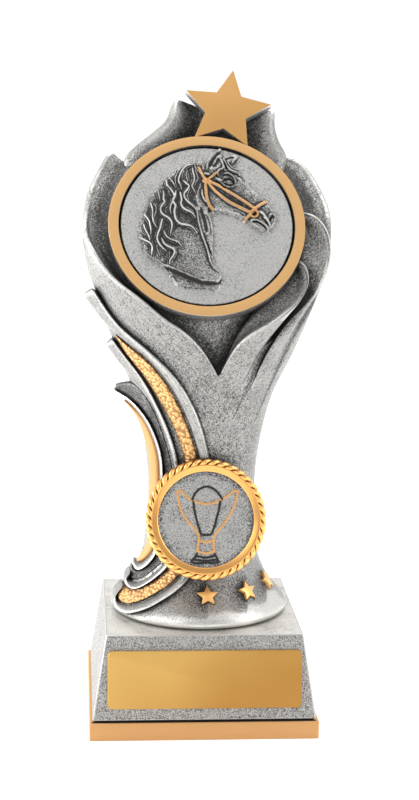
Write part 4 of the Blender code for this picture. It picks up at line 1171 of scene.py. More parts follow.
# %% Horse outline
# Round the whole head, round the mane, and round the cut face under the neck
HORSE = [
    (-0.4, 18.4), (-0.3, 17.0), (0.3, 17.6), (1.0, 19.0), (2.2, 20.6), (3.4, 21.8), (4.1, 22.3),
    (4.5, 21.2), (4.6, 19.4), (5.3, 19.6), (6.8, 20.2), (9.0, 20.3), (9.2, 19.7), (8.2, 18.2), (7.3, 17.3),
    (8.3, 16.4), (9.4, 15.3), (8.6, 15.2), (9.7, 14.4), (9.2, 14.1), (9.9, 13.3), (10.6, 12.4),
    (11.6, 11.4), (13.4, 9.2), (15.2, 7.2), (16.6, 5.4), (17.5, 3.8), (18.4, 2.4), (18.6, 1.5),
    (18.0, 0.2), (17.2, -0.9), (16.6, -1.1), (15.9, -1.8), (15.4, -1.5), (14.2, -1.8), (13.0, -1.1),
    (11.9, -0.4), (11.1, 0.4), (11.0, 1.2), (9.9, 1.3), (8.2, 2.4), (6.0, 3.2), (3.8, 3.7), (2.2, 3.8),
    (1.2, 3.6), (1.3, 1.6), (1.7, -0.5), (1.8, -2.4), (1.7, -4.2), (1.6, -6.0), (1.5, -8.0), (1.4, -9.8),
    (2.0, -11.6), (3.2, -13.4), (3.7, -15.0), (3.4, -16.6), (2.9, -18.6), (2.0, -18.5), (-1.0, -18.3),
    (-4.5, -18.0), (-7.6, -17.6), (-9.4, -15.6), (-10.4, -13.6), (-11.6, -11.9), (-13.0, -10.8),
    (-14.5, -9.9), (-15.9, -8.9), (-16.9, -7.7), (-16.7, -6.5), (-17.1, -5.0), (-17.9, -3.8),
    (-18.0, -1.6), (-17.5, 0.2), (-16.8, 1.2), (-16.6, 2.8), (-16.4, 4.2), (-15.7, 5.4), (-15.0, 6.2),
    (-14.9, 7.6), (-14.3, 8.9), (-13.2, 9.7), (-12.6, 10.1), (-12.3, 11.3), (-11.5, 12.4), (-10.2, 13.2),
    (-9.6, 14.2), (-8.6, 14.8), (-8.1, 15.8), (-6.9, 16.1), (-6.0, 16.8), (-4.6, 17.6), (-3.0, 17.9),
    (-1.9, 18.4),
]
MANE = [
    (-0.5, 18.4), (-0.9, 16.0), (-1.6, 14.6), (-1.2, 12.6), (-2.0, 10.0), (-2.8, 7.6), (-2.4, 5.0),
    (-2.6, 2.0), (-2.8, -0.5), (-2.8, -3.0), (-4.6, -1.4), (-7.4, -1.2), (-9.0, -3.0), (-7.0, -6.8),
    (-9.0, -7.0), (-8.3, -8.2), (-9.6, -11.2), (-11.4, -11.9), (-14.8, -10.2), (-17.2, -7.6),
    (-18.2, -4.0), (-18.2, -1.0), (-17.0, 2.6), (-15.4, 6.6), (-14.4, 9.4), (-12.6, 12.0), (-9.8, 14.8),
    (-6.6, 16.8), (-3.0, 18.4),
]
BUST_SIDE = [
    (-11.6, -11.9), (-8.7, -13.1), (-5.2, -14.8), (-1.8, -16.2), (2.3, -16.5), (3.6, -15.2),
    (3.2, -18.6), (-4.5, -18.2), (-7.7, -17.7), (-9.4, -15.6),
]
print("outlines with", len(HORSE), len(MANE), "and", len(BUST_SIDE), "points")

# %% Mane strands
# Each strand: its line, width and height
STRANDS = [
    ([(-2.9, 17.2), (-2.9, 16.3), (-2.4, 15.3), (-1.9, 14.6)], 0.22, 0.45),
    ([(-3.6, 16.0), (-3.4, 14.5), (-3.1, 13.0), (-3.4, 11.5), (-3.8, 10.6), (-3.5, 9.8),
      (-2.9, 8.6)], 0.30, 0.55),
    ([(-2.9, 15.5), (-2.4, 13.8), (-2.2, 13.0), (-2.4, 12.0)], 0.20, 0.35),
    ([(-3.2, 17.0), (-4.2, 16.9), (-5.3, 16.4), (-6.3, 15.2), (-7.0, 13.5), (-7.3, 12.0), (-6.8, 10.8),
      (-6.5, 9.6)], 0.34, 0.6),
    ([(-3.4, 17.6), (-5.0, 17.2), (-6.6, 16.0), (-7.6, 14.4), (-8.1, 13.0), (-8.0, 11.0),
      (-7.4, 9.4)], 0.24, 0.4),
    ([(-5.9, 15.2), (-6.3, 13.8), (-6.4, 12.6)], 0.22, 0.4),
    ([(-4.9, 15.4), (-5.3, 13.8), (-4.9, 12.2), (-4.6, 11.0)], 0.16, 0.22),
    ([(-6.2, 12.2), (-5.3, 11.3), (-4.6, 10.5), (-5.2, 9.3), (-5.9, 8.3), (-5.8, 7.2), (-5.2, 6.3),
      (-4.3, 5.4), (-3.4, 4.6), (-2.7, 3.4)], 0.38, 0.6),
    ([(-4.2, 10.0), (-4.8, 8.8), (-5.1, 7.6), (-4.7, 6.6), (-4.4, 6.0)], 0.20, 0.4),
    ([(-7.0, 8.9), (-6.7, 7.5), (-6.6, 6.4), (-6.8, 5.5), (-6.4, 4.4), (-5.4, 3.6), (-4.3, 3.1),
      (-3.5, 2.3), (-3.1, 1.4)], 0.40, 0.65),
    ([(-5.6, 4.6), (-4.6, 4.1), (-3.8, 3.4), (-3.3, 2.6)], 0.20, 0.35),
    ([(-8.0, 9.4), (-8.3, 7.6), (-8.9, 6.2), (-8.2, 4.8), (-8.5, 3.6), (-8.4, 2.0), (-8.1, 0.8),
      (-7.1, -0.3), (-5.7, -0.6), (-4.5, -0.9), (-3.7, -1.5), (-2.8, -2.8)], 0.42, 0.7),
    ([(-7.4, 1.2), (-6.6, 0.5), (-5.6, 0.1), (-4.6, 0.0)], 0.18, 0.25),
    ([(-10.9, 12.6), (-10.5, 12.0), (-10.3, 10.8), (-9.5, 9.7), (-8.8, 8.6), (-8.5, 7.6), (-8.8, 6.4),
      (-9.4, 5.0), (-9.6, 3.6), (-9.3, 2.2)], 0.32, 0.6),
    ([(-9.9, 13.3), (-9.2, 12.2), (-8.6, 11.2), (-8.2, 10.2)], 0.24, 0.5),
    ([(-10.0, 9.2), (-9.7, 8.2), (-9.3, 7.4)], 0.16, 0.3),
    ([(-12.8, 9.8), (-12.6, 8.6), (-12.4, 7.5), (-12.2, 6.2)], 0.24, 0.45),
    ([(-11.4, 9.4), (-11.2, 7.8), (-11.3, 6.7), (-11.0, 5.9), (-11.7, 5.0), (-12.1, 4.0), (-12.0, 3.0),
      (-11.2, 2.0), (-10.2, 1.4), (-9.5, 0.6), (-9.2, -0.5), (-9.3, -1.6), (-9.6, -2.8),
      (-9.7, -3.9)], 0.34, 0.65),
    ([(-10.4, 4.6), (-10.9, 3.6), (-10.5, 2.6)], 0.16, 0.3),
    ([(-14.9, 6.1), (-14.5, 5.0), (-14.2, 3.9), (-14.2, 2.8), (-14.2, 1.5), (-14.0, 0.2), (-13.5, -0.9),
      (-13.0, -1.5)], 0.30, 0.6),
    ([(-13.9, 5.6), (-13.3, 4.4), (-13.3, 3.2), (-13.6, 2.2), (-13.8, 1.0)], 0.24, 0.45),
    ([(-16.5, 2.8), (-15.9, 1.7), (-15.2, 0.6), (-14.9, -0.6), (-14.7, -1.9), (-14.7, -3.4)], 0.32, 0.6),
    ([(-16.6, -0.3), (-16.2, -1.8), (-15.7, -2.9), (-15.2, -4.0), (-14.9, -5.3)], 0.30, 0.55),
    ([(-17.4, -1.2), (-17.0, -2.6), (-16.2, -3.8)], 0.18, 0.25),
    ([(-17.9, -3.7), (-17.0, -4.5), (-15.9, -5.2), (-14.8, -6.0), (-14.4, -7.0), (-14.5, -8.2),
      (-14.7, -9.4)], 0.32, 0.6),
    ([(-16.8, -7.5), (-15.9, -8.5), (-14.8, -9.5)], 0.24, 0.4),
    ([(-11.6, 1.2), (-12.0, -0.2), (-12.4, -1.9), (-12.9, -3.2), (-13.1, -4.4), (-12.8, -5.7),
      (-12.0, -6.9), (-10.8, -8.0)], 0.36, 0.65),
    ([(-12.0, -4.4), (-11.3, -6.0), (-10.3, -6.8), (-9.3, -7.3), (-8.7, -8.0), (-9.0, -9.3),
      (-9.8, -10.5), (-10.0, -11.6)], 0.36, 0.6),
    ([(-10.0, -8.0), (-10.0, -9.3), (-10.1, -10.5)], 0.16, 0.35),
    ([(-11.4, -2.2), (-11.1, -3.1), (-10.5, -4.1), (-9.5, -4.8), (-8.4, -5.2), (-7.6, -5.7),
      (-6.9, -6.7)], 0.28, 0.5),
    ([(-13.3, -6.4), (-13.0, -7.8), (-12.4, -9.2)], 0.18, 0.25),
]
print(len(STRANDS), "strands")

# %% Ridges and grooves of the head
# Ridges of the neck, the head and the forelock
FORMS = [
    ([(-2.7, 4.6), (-2.6, 3.1), (-2.4, 1.2), (-2.1, -0.5), (-1.7, -2.4), (-1.0, -4.8), (-0.4, -6.6),
      (0.1, -8.5), (0.5, -10.5), (1.2, -12.1), (2.1, -13.2), (3.1, -14.1)], 0.24, 0.46),
    ([(-0.3, 3.0), (0.6, 1.6), (1.1, -0.4), (1.3, -2.2), (1.4, -3.7)], 0.24, 0.4),
    ([(0.5, -5.6), (0.9, -6.6), (0.9, -8.0)], 0.40, 0.4),
    ([(-14.3, -9.8), (-13.0, -10.4), (-11.7, -11.6), (-10.2, -12.1), (-8.7, -13.0), (-7.1, -13.8),
      (-5.2, -14.6), (-3.4, -15.4), (-1.8, -16.0), (-0.2, -16.2), (2.1, -16.4)], 0.14, 0.34),
    ([(-9.4, -15.1), (-8.7, -16.2), (-7.9, -17.4)], 0.30, 0.45),
    ([(0.2, 15.4), (0.5, 17.4), (1.2, 19.0), (2.3, 20.6), (3.9, 22.1)], 0.24, 0.5),
    ([(4.2, 21.5), (4.1, 19.6), (3.8, 17.8)], 0.12, 0.26),
    ([(6.9, 17.4), (7.4, 18.3), (8.2, 19.1), (9.0, 19.9)], 0.24, 0.55),
    ([(5.0, 19.4), (6.4, 19.9), (8.4, 20.2)], 0.16, 0.25),
    ([(4.6, 18.8), (5.2, 17.4), (5.8, 16.2), (7.0, 15.2), (8.4, 14.9), (9.4, 14.4)], 0.24, 0.5),
    ([(5.6, 18.2), (6.2, 16.8), (7.2, 15.9), (8.2, 15.6), (9.2, 15.3)], 0.20, 0.45),
    ([(4.1, 18.6), (4.5, 17.0), (4.4, 15.8), (3.4, 15.3), (3.0, 14.4), (3.3, 13.4)], 0.26, 0.5),
    ([(4.8, 16.6), (5.0, 15.4), (6.0, 14.8)], 0.20, 0.35),
    ([(-0.6, 14.2), (0.3, 14.1), (0.9, 14.0)], 0.34, 0.45),
    ([(2.6, 12.9), (3.5, 12.5), (4.0, 12.1)], 0.34, 0.45),
    ([(4.6, 14.3), (5.8, 14.4), (6.8, 13.8), (7.5, 12.8), (7.9, 11.8)], 0.20, 0.45),
    ([(4.4, 13.2), (5.4, 13.4), (6.4, 13.1), (7.0, 12.4)], 0.14, 0.3),
    ([(3.9, 11.6), (4.7, 10.9), (5.8, 10.5), (6.9, 10.5), (7.6, 11.0)], 0.15, 0.36),
    ([(-1.2, 9.6), (-1.1, 8.0), (-0.7, 6.8), (-0.2, 5.9)], 0.26, 0.5),
    ([(7.2, 3.5), (8.0, 3.3), (8.8, 3.0)], 0.24, 0.3),
    ([(13.6, 3.4), (14.6, 2.8), (15.2, 1.8), (15.8, 0.8), (16.4, -0.4)], 0.42, 0.55),
    ([(16.2, 2.6), (17.0, 2.9), (17.7, 2.3), (17.7, 1.3), (17.2, 0.4)], 0.22, 0.5),
    ([(11.3, 1.2), (12.6, 1.1), (13.8, 0.6), (15.0, -0.2), (16.0, -0.9)], 0.22, 0.45),
    ([(11.5, 0.1), (12.6, -0.4), (13.6, -1.1), (14.1, -1.7)], 0.24, 0.4),
    ([(16.3, 4.8), (17.3, 3.3), (18.2, 1.9)], 0.20, 0.3),
]
# Grooves: line, width and depth
GROOVES = [
    ([(1.0, 16.4), (1.7, 18.2), (2.8, 19.9), (3.9, 21.0)], 0.55, 0.6),
    ([(2.0, 16.4), (2.8, 17.6), (3.4, 19.0)], 0.6, 0.5),
    ([(5.0, 18.6), (6.2, 19.1), (7.4, 19.3)], 0.36, 0.5),
    ([(7.1, 17.3), (8.0, 18.2), (9.1, 19.4)], 0.16, 0.5),
    ([(4.5, 17.9), (5.2, 16.9), (5.4, 15.6), (6.0, 15.0), (7.4, 14.4), (8.6, 14.2)], 0.14, 0.5),
    ([(8.0, 13.9), (9.2, 13.6), (10.0, 12.6), (10.3, 12.0)], 0.24, 0.4),
    ([(1.6, 13.6), (2.6, 13.9), (3.2, 13.0)], 0.26, 0.45),
    ([(2.0, 12.4), (3.6, 11.4), (4.6, 10.2), (5.6, 9.9)], 0.20, 0.45),
    ([(4.3, 11.9), (4.9, 12.5), (6.0, 12.7), (7.0, 12.2), (7.3, 11.2)], 0.16, 0.6),
    ([(4.6, 11.6), (5.4, 11.0), (6.3, 10.9), (7.0, 11.2)], 0.12, 0.45),
    ([(8.4, 5.6), (9.0, 5.2), (9.6, 4.9)], 0.18, 0.3),
    ([(2.4, 9.6), (4.6, 8.1), (7.6, 6.3), (9.6, 5.1)], 0.34, 0.22),
    ([(6.8, 3.8), (8.4, 3.2), (9.6, 2.4)], 0.18, 0.3),
    ([(11.7, 0.7), (13.2, 0.5), (14.4, -0.3), (15.7, -1.6)], 0.16, 0.6),
    ([(16.4, 0.6), (16.5, 1.4), (17.0, 2.0), (17.4, 1.9)], 0.22, 0.7),
    ([(14.2, 1.6), (15.2, 0.8), (15.8, 0.0)], 0.18, 0.3),
    ([(-1.6, 4.4), (-1.2, 2.6), (-0.6, 0.4), (-0.2, -2.4)], 0.50, 0.4),
    ([(0.6, 4.6), (0.6, 3.2)], 0.3, 0.5),
    ([(-0.4, -4.8), (0.5, -7.8), (1.2, -9.2)], 0.12, 0.4),
]
print(len(FORMS), "ridges and", len(GROOVES), "grooves")

# %% Bridle
# Line and half width
BRIDLE = [
    ([(-1.9, 15.9), (-1.3, 14.4), (-0.6, 13.0), (0.0, 12.0)], 0.34),
    ([(0.2, 12.3), (1.3, 13.2), (2.7, 14.5)], 0.28),
    ([(-0.2, 11.8), (-0.2, 9.4), (0.0, 7.2), (0.6, 5.2), (1.5, 4.0)], 0.36),
    ([(0.4, 11.9), (3.0, 10.8), (5.5, 9.1), (8.0, 7.5), (10.4, 5.8), (12.3, 4.3)], 0.36),
    ([(0.6, 11.3), (1.6, 9.9), (3.0, 8.3), (5.2, 6.4), (7.5, 5.1), (9.8, 3.9), (11.3, 3.1)], 0.36),
    ([(15.8, 6.6), (14.2, 5.5), (12.6, 4.2), (11.3, 2.7), (9.8, 1.2)], 0.36),
    ([(-0.4, 12.0), (0.2, 11.9), (0.8, 11.7)], 0.62),
]
BIT = (12.3, 2.9)
BIT_RADIUS = 0.95
STRAP_HIGH = 0.38
print(len(BRIDLE), "straps")

# %% [markdown]
# The height of the head is built up in layers: a rounded field with a full cheek and neck, then the ridges,
# each the highest of all the lines that pass, then the grooves cut into it, and last the bridle over all.

# %% The head's rounded field
def round_spot(x, y, place, wide):
    """1 at a place on the disc, falling smoothly round it."""
    return np.exp(-((x - place[0]) ** 2 + (y - place[1]) ** 2) / wide)


def head_field(flat, deep, in_mane, bust_side):
    """The head before any line is laid on it: a rounded edge, cheek, neck and a cut bust."""
    x, y = flat.T
    height = 0.55 * rounded_rise(deep, 0.5) + 0.75 * rounded_rise(deep, 4.0) - 0.12 * in_mane
    height += 0.30 * round_spot(x, y, (3.4, 7.2), 7.0) * (deep > 0)
    height += 0.25 * np.exp(-((x + 4.8) ** 2 / 9.0 + (y + 8.0) ** 2 / 20.0)) * (deep > 0)
    return height - 0.5 * bust_side * rounded_rise(deep, 0.3)


# %% Hair, folds and straps
HAIR_APART = 0.55
HAIR_WIDTH = 0.13


def beside(line, offset):
    """The same line moved sideways."""
    line = along(line, 16)
    way = np.gradient(line, axis=0)
    side = np.stack([-way[:, 1], way[:, 0]], axis=1)
    return line + offset * side / np.linalg.norm(side, axis=1)[:, None]


def raised_lines(flat):
    """The strands and folds, with a finer hair on both sides of each strand."""
    raised = np.zeros(len(flat))
    for line, width, high in STRANDS + FORMS:
        raised = np.maximum(raised, high * ridge(flat, line, 0.85 * width))
    for line, _, high in STRANDS:
        for side in (-HAIR_APART, HAIR_APART):
            hair = ridge(flat, beside(line, side), HAIR_WIDTH, (0.3, 0.5))
            raised = np.maximum(raised, 0.4 * high * hair)
    return raised


def lay_bridle(flat, height):
    """The heights with the straps and the bit on them, and where their gold paint is."""
    gold_mask = np.zeros(len(flat))
    for line, width in BRIDLE:
        near, _ = from_line(flat, line)
        strap = height + STRAP_HIGH * rounded_rise(width * 1.3 - near, 0.3)
        height = np.maximum(height, np.where(near < width * 1.3, strap, 0))
        gold_mask = np.maximum(gold_mask, np.clip((width * 1.05 - near) / 0.12, 0.0, 1.0))
    from_bit = np.hypot(flat[:, 0] - BIT[0], flat[:, 1] - BIT[1])
    bit = np.abs(from_bit - BIT_RADIUS)
    height = height + (0.4 * np.exp(-(bit / 0.28) ** 2) - 0.5 * np.exp(-(from_bit / 0.5) ** 2))
    return height, np.maximum(gold_mask, np.clip((0.34 - bit) / 0.12, 0.0, 1.0))


# %% [markdown]
# Stain settles where a point is lower than the average round it, near and far; on the ground round the
# head the same darkening is weaker and makes a faint painted shade along the outline. The whole head is
# darker than the ground, and the crests of the strands are lighter: partly wiped bright and partly a
# painted highlight.

# %% Horse disc
HORSE_EYE = (5.9, 11.8)
RIM_GAP = 0.35


def horse_stain(flat, count, height, raised, deep, in_mane, bust_side):
    """The hollow number of each point of the horse's disc."""
    x, y = flat.T
    near_mean, far_mean = softened(height, count, 3), softened(height, count, 8)
    valley = (0.8 * np.clip((near_mean - height) / 0.10, -0.2, 1.0)
              + 0.5 * np.clip((far_mean - height) / 0.30, -0.2, 1.0))
    # The crests are lighter: partly wiped and partly a painted highlight.
    crest_wiped_and_highlit = np.clip((raised - 0.28) / 0.28, 0.0, 1.0) * (deep > 0)
    brow = round_spot(x, y, (6.0, 14.5), 9.0)
    tone = (0.40 + 0.12 * in_mane + 0.1 * bust_side + 0.12 * brow) * np.clip(deep / 0.12, 0.0, 1.0)
    # Outside the head the valley darkening is weaker: a faint painted shade along the outline.
    hollow = valley * (0.15 + 0.85 * np.clip(deep / 0.2, 0.0, 1.0)) + tone * (1 - crest_wiped_and_highlit) - 0.1 * crest_wiped_and_highlit
    eye = np.hypot(x - HORSE_EYE[0], y - HORSE_EYE[1])
    hollow += 0.5 * np.exp(-(eye / 1.3) ** 2) * (1 - np.exp(-(eye / 0.5) ** 2))
    return hollow + 0.9 * np.clip((np.hypot(x, y) - DISC_RADIUS + RIM_GAP) / 0.2, 0, 1)


def make_horse_disc(count=300):
    """The whole disc: heights layer by layer, then the stain, then an edge that falls away."""
    flat = disc_grid(DISC_RADIUS, count)
    x, y = flat.T
    deep = inside_distance(flat, HORSE)
    in_mane = rounded_rise(inside_distance(flat, MANE), 0.7) * (deep > 0)
    bust_side = rounded_rise(inside_distance(flat, BUST_SIDE), 0.5)
    raised = raised_lines(flat)
    height = head_field(flat, deep, in_mane, bust_side)
    height += raised * np.minimum(1.0, 0.35 + deep / 0.4)
    for line, width, low in GROOVES:
        height -= low * ridge(flat, line, width, (0.15, 0.15)) * np.minimum(1.0, deep / 0.3)
    height += 0.42 * np.exp(-(np.hypot(x - HORSE_EYE[0], y - HORSE_EYE[1]) / 0.55) ** 2)
    height, gold_mask = lay_bridle(flat, height)
    hollow = horse_stain(flat, count, height, raised, deep, in_mane, bust_side)
    height -= 0.5 * np.clip((np.hypot(x, y) - DISC_RADIUS + 0.25) / 0.25, 0, 1)
    return relief_piece("horse_relief", flat, count, height, DISC_THICK,
                        {"hollow": hollow, "gold": gold_mask})


horse = make_horse_disc()

# %% [markdown]
# The disc's finish is the same stained silver with a second number, gold, that lays the bridle's paint
# over it. The number is soft at its edge over less than the width of a hair, as brushed paint is.

# %% Relief finish
DISC_SILVER = (0.53, 0.525, 0.51)


def relief_paint(name, stain):
    """Stained silver with gold and black lines painted over it where the piece's numbers say so."""
    made = metal_paint(name, DISC_SILVER, 0.36, 0.85, stain, 0.35)
    tree = made.node_tree
    shader = tree.nodes["Principled BSDF"]
    gold_part = node(tree, "ShaderNodeAttribute", attribute_name="gold").outputs["Fac"]
    black_part = node(tree, "ShaderNodeAttribute", attribute_name="black").outputs["Fac"]
    below = shader.inputs["Base Color"].links[0].from_socket
    painted = blend_colours(tree, gold_part, below, (*GOLD, 1))
    painted = blend_colours(tree, black_part, painted, STAIN_BLACK)
    tree.links.new(painted, shader.inputs["Base Color"])
    return made


disc_silver = relief_paint("antique silver disc", stain_amounts(1.0, 0.9, 0.8, 0.6, 0.24))
belongs(horse, "horse_disc", disc_silver)
settle(horse, ring_matrix @ Matrix.Translation((0, 0, -DISC_SUNK * MM)))

# %% [markdown]
# ## Medallion
# A round gold holder with a rope edge sits low on the neck, leaning back a little, and holds a silver
# disc with a cup drawn on it. The rope is a band of slanted strands: the holder's profile is turned
# round its centre, and its outer corner swells and sinks with the angle and with the place on the profile.

# %% Medallion holder
CUP_RADIUS = 12.7
HOLDER_THICK = 3.4
HOLDER_LEAN = math.radians(13.0)
HOLDER_PROUD = 3.4
HOLDER_HEIGHT = 55.3
ROPE_STRANDS = 40
ROPE_CUT = 0.9
# Distance out from the disc's edge, height above the rope's top, and how far the strands cut in
HOLDER_PROFILE = [
    (-0.2, -2.2, 0), (-0.2, -0.75, 0), (-0.1, -0.62, 0), (0.1, -0.55, 0), (0.8, -0.30, 0), (1.35, -0.12, 0),
    (1.5, -0.13, 0), (1.58, -0.22, 0.1), (1.66, -0.12, 0.6), (1.85, -0.02, 0.9), (2.1, 0.0, 1.0),
    (2.4, -0.06, 1.0), (2.7, -0.22, 1.0), (2.95, -0.46, 1.0), (3.12, -0.8, 1.0), (3.2, -1.2, 1.0),
    (3.2, -1.6, 1.0), (3.12, -2.0, 0.9), (2.95, -2.4, 0.6), (2.7, -2.8, 0.2), (2.5, -3.35, 0.0),
    (-0.2, -3.35, 0.0),
]
holder_out = np.array([0.0, -math.cos(HOLDER_LEAN), math.sin(HOLDER_LEAN)])
holder_back = body_point(np.array(0.0), HOLDER_HEIGHT) + holder_out * HOLDER_PROUD
holder_face = holder_back + holder_out * HOLDER_THICK
holder_matrix = leaning_matrix(holder_face, HOLDER_LEAN)
print("holder's face at", [round(float(v), 1) for v in holder_face], "mm")

# %% The rope's strands
# The profile is cut in from its side beyond ROPE_FROM, and from its top short of ROPE_END
ROPE_FROM, ROPE_END = 1.6, 3.2
SLANT = 0.75
POLE = np.array([0.02, 0.02, 1.0])


def make_holder(per_strand=18):
    """The profile turned round the centre, its corner cut in between the slanted strands."""
    count = ROPE_STRANDS * per_strand
    angle = np.arange(count) * 2 * math.pi / count
    spacing = 2 * math.pi * (CUP_RADIUS + 2.6) / ROPE_STRANDS
    rings, gone, before = [], 0.0, HOLDER_PROFILE[0]
    for out, height, rope in HOLDER_PROFILE:
        gone += math.hypot(out - before[0], height - before[1]) if rope else 0.0
        before = (out, height)
        strand = np.abs(np.sin(angle * ROPE_STRANDS / 2 + gone * math.pi / spacing * SLANT))
        cut = rope * ROPE_CUT * (1 - strand**0.55)
        radius = CUP_RADIUS + out - cut * min(1.0, max(0.0, (out - ROPE_FROM) / 1.4))
        rings.append(np.stack([radius * np.cos(angle), radius * np.sin(angle),
                               height - cut * min(1.0, max(0.0, (ROPE_END - out) / 0.7))], axis=1))
    front_pole = rings[0] * POLE
    back_pole = front_pole * np.array([1.0, 1.0, 0.0]) + np.array([0, 0, HOLDER_PROFILE[-1][1]])
    rings = [front_pole, *rings, back_pole]
    return skin("cup_holder", rings)


holder = belongs(make_holder(), "cup_bezel", bright_gold)
settle(holder, holder_matrix)

# %% [markdown]
# ## Cup disc
# The cup is a line drawing in the casting: shallow gold lines for the rim, the handles and the stem,
# and black ones for the bowl, the ball above it and the base.

# %% Lines of the cup
GOLD_LINES = [
    [(-3.3, 4.9), (-1.6, 4.3), (0.3, 4.1), (2.0, 4.3), (3.6, 5.0)],
    [(-3.3, 4.9), (-4.6, 5.6), (-5.8, 6.6), (-6.4, 7.4), (-7.4, 7.4), (-7.3, 5.6), (-6.8, 3.3), (-5.9, 1.2),
     (-4.8, -0.4), (-3.4, -2.0), (-2.4, -3.2), (-1.9, -4.6)],
    [(3.6, 5.0), (4.8, 5.6), (6.3, 6.6), (7.2, 7.4), (8.2, 7.5), (8.0, 5.6), (7.4, 3.6), (6.4, 1.6),
     (5.2, -0.4), (3.8, -2.2), (2.6, -3.4), (2.0, -4.6)],
    [(-1.9, -4.6), (-2.0, -6.0), (-2.2, -7.4), (-2.4, -8.8)],
    [(2.0, -4.6), (1.9, -6.0), (2.0, -7.4), (2.2, -8.8)],
    [(-1.9, -5.4), (0.0, -5.9), (1.9, -5.4)],
    [(-2.2, -8.2), (0.0, -8.8), (2.1, -8.2)],
]
BLACK_LINES = [
    [(-3.6, 5.2), (-3.0, 6.6), (-1.6, 8.0), (0.2, 8.6), (2.0, 8.0), (3.4, 6.6), (4.2, 5.4)],
    [(-3.3, 4.6), (-3.1, 2.8), (-2.7, 0.8), (-2.1, -1.4), (-1.4, -3.6)],
    [(3.7, 4.7), (3.4, 2.8), (2.9, 0.8), (2.3, -1.4), (1.5, -3.6)],
    [(-1.0, -3.9), (0.0, -4.0), (1.2, -3.9)],
    [(-2.4, -8.8), (-2.9, -9.8), (-3.8, -10.8), (-3.6, -11.1), (-1.8, -11.3), (0.0, -11.2), (1.8, -11.2),
     (3.2, -11.0), (2.8, -10.0), (2.2, -8.9)],
    [(-2.6, -9.4), (0.0, -9.9), (2.3, -9.4)],
    [(-3.1, -10.4), (0.0, -10.7), (2.8, -10.4)],
]
print(len(GOLD_LINES), "gold and", len(BLACK_LINES), "black lines")

# %% Cup disc
LINE_WIDTH = 0.31
GOLD_STEP, BLACK_STEP = 0.16, -0.14
EDGE_SHADE = 2.6
CUP_THICK = 1.2
CUP_SUNK = 0.71


def make_cup_disc(count=250):
    """A flat disc with raised gold lines and sunk black ones, darker beside them and at its edge."""
    flat = disc_grid(CUP_RADIUS, count)
    reach = np.hypot(*flat.T)
    height, gold_mask, black_mask, flank = np.zeros((4, len(flat)))
    for lines, mask, step in ((GOLD_LINES, gold_mask, GOLD_STEP), (BLACK_LINES, black_mask, BLACK_STEP)):
        for line in lines:
            near, _ = from_line(flat, line, 40)
            height += step * np.exp(-(near / 0.25) ** 2)
            mask[:] = np.maximum(mask, np.clip((LINE_WIDTH + 0.06 - near) / 0.12, 0, 1))
            flank = np.maximum(flank, np.exp(-(near / 0.5) ** 2))
    edge = np.clip((reach - CUP_RADIUS + EDGE_SHADE) / EDGE_SHADE, 0, 1)
    return relief_piece("cup_relief", flat, count, height, CUP_THICK,
                        {"hollow": 0.6 * edge**2 + 0.3 * flank, "gold": gold_mask, "black": black_mask})


cup_silver = relief_paint("antique silver small disc", stain_amounts(0.9, 1.4, 0.3, 0.6, 0.34))
cup = belongs(make_cup_disc(), "cup_disc", cup_silver)
settle(cup, holder_matrix @ Matrix.Translation((0, 0, -CUP_SUNK * MM)))

# %% [markdown]
# The neck carries a short round stub that the holder is glued to. It fills the space behind the holder.

# %% Holder seat
STUB_RADIUS, STUB_LONG, STUB_MIDDLE = 12.0, 7.0, -6.9
bpy.ops.mesh.primitive_cylinder_add(vertices=64, radius=STUB_RADIUS * MM, depth=STUB_LONG * MM,
                                    location=(0, 0, STUB_MIDDLE * MM))
stub = new_shape("holder_stub")
edit(stub)
pick(stub, edges=lambda a, b: abs(a.z - b.z) < TINY)
bpy.ops.mesh.bevel(offset=0.5 * MM, segments=3)
finish_by_hand(stub)
settle(stub, holder_matrix)
belongs(stub, "tower", silver)

# %% [markdown]
# ## Hollows
# Every point of the tower's pieces looks out along forty fixed directions. The share of them that meets
# something close by is the point's hollow number, so the creases between petals, the floor behind the
# ring and the narrow gaps all turn darker: partly the stain that stays there when it is wiped, and partly
# painted shade. Sharp bulges get a lower number and lighter paint, partly rubbed bare and partly a painted
# highlight. A few lines and places are made darker or lighter still: two dark lines by the petals and a
# slight darkening down the neck, stain with painted shade round the small stars, and painted light low
# on the foot with a painted highlight on its right.

# %% Extra stain, painted shade and painted light
INSIDE_STAIN = 0.2
MORE_STAIN = {"dark_leaf": 0.38, "star_web": 0.3}
STAR_SHADE, STAR_STAIN_AND_SHADE = 3.5, 0.55
# Pieces, a line from its wide end to its thin one as seen from the front, its width, and how much darker it
# makes them, lighter below 0
STAIN_SHADE_AND_LIGHT_LINES = [
    # Two dark lines along the grooves beside the petals, on the right.
    (("petal_two", "tower_body"), [(25.6, 115.0), (21.6, 109.0), (17.6, 104.0), (14.2, 98.4), (11.4, 91.4),
                                   (9.2, 86.6), (7.2, 82.0)], 1.7, 0.6),
    (("tower_body",), [(28.6, 112.6), (23.4, 104.0), (19.4, 95.0), (16.2, 87.2), (13.2, 80.2)], 1.0, 0.6),
    # Slightly darker down the front of the neck.
    (("tower_body",), [(0.0, 90.0), (5.0, 84.0), (8.0, 76.0), (9.0, 66.0), (9.0, 52.0),
                       (9.0, 30.0)], 13.0, 0.09),
    # Painted light: the foot's lowest part is made lighter, as the white floor lights it.
    (("tower_body",), [(18.0, 30.0), (10.0, 29.5), (2.0, 29.0), (-8.0, 29.0), (-20.0, 29.0)], 3.4, -0.3),
    # A painted highlight on the right of the foot.
    (("tower_body",), [(20.0, 33.0), (16.0, 36.0), (12.0, 39.0), (10.0, 43.0)], 3.0, -0.16),
]
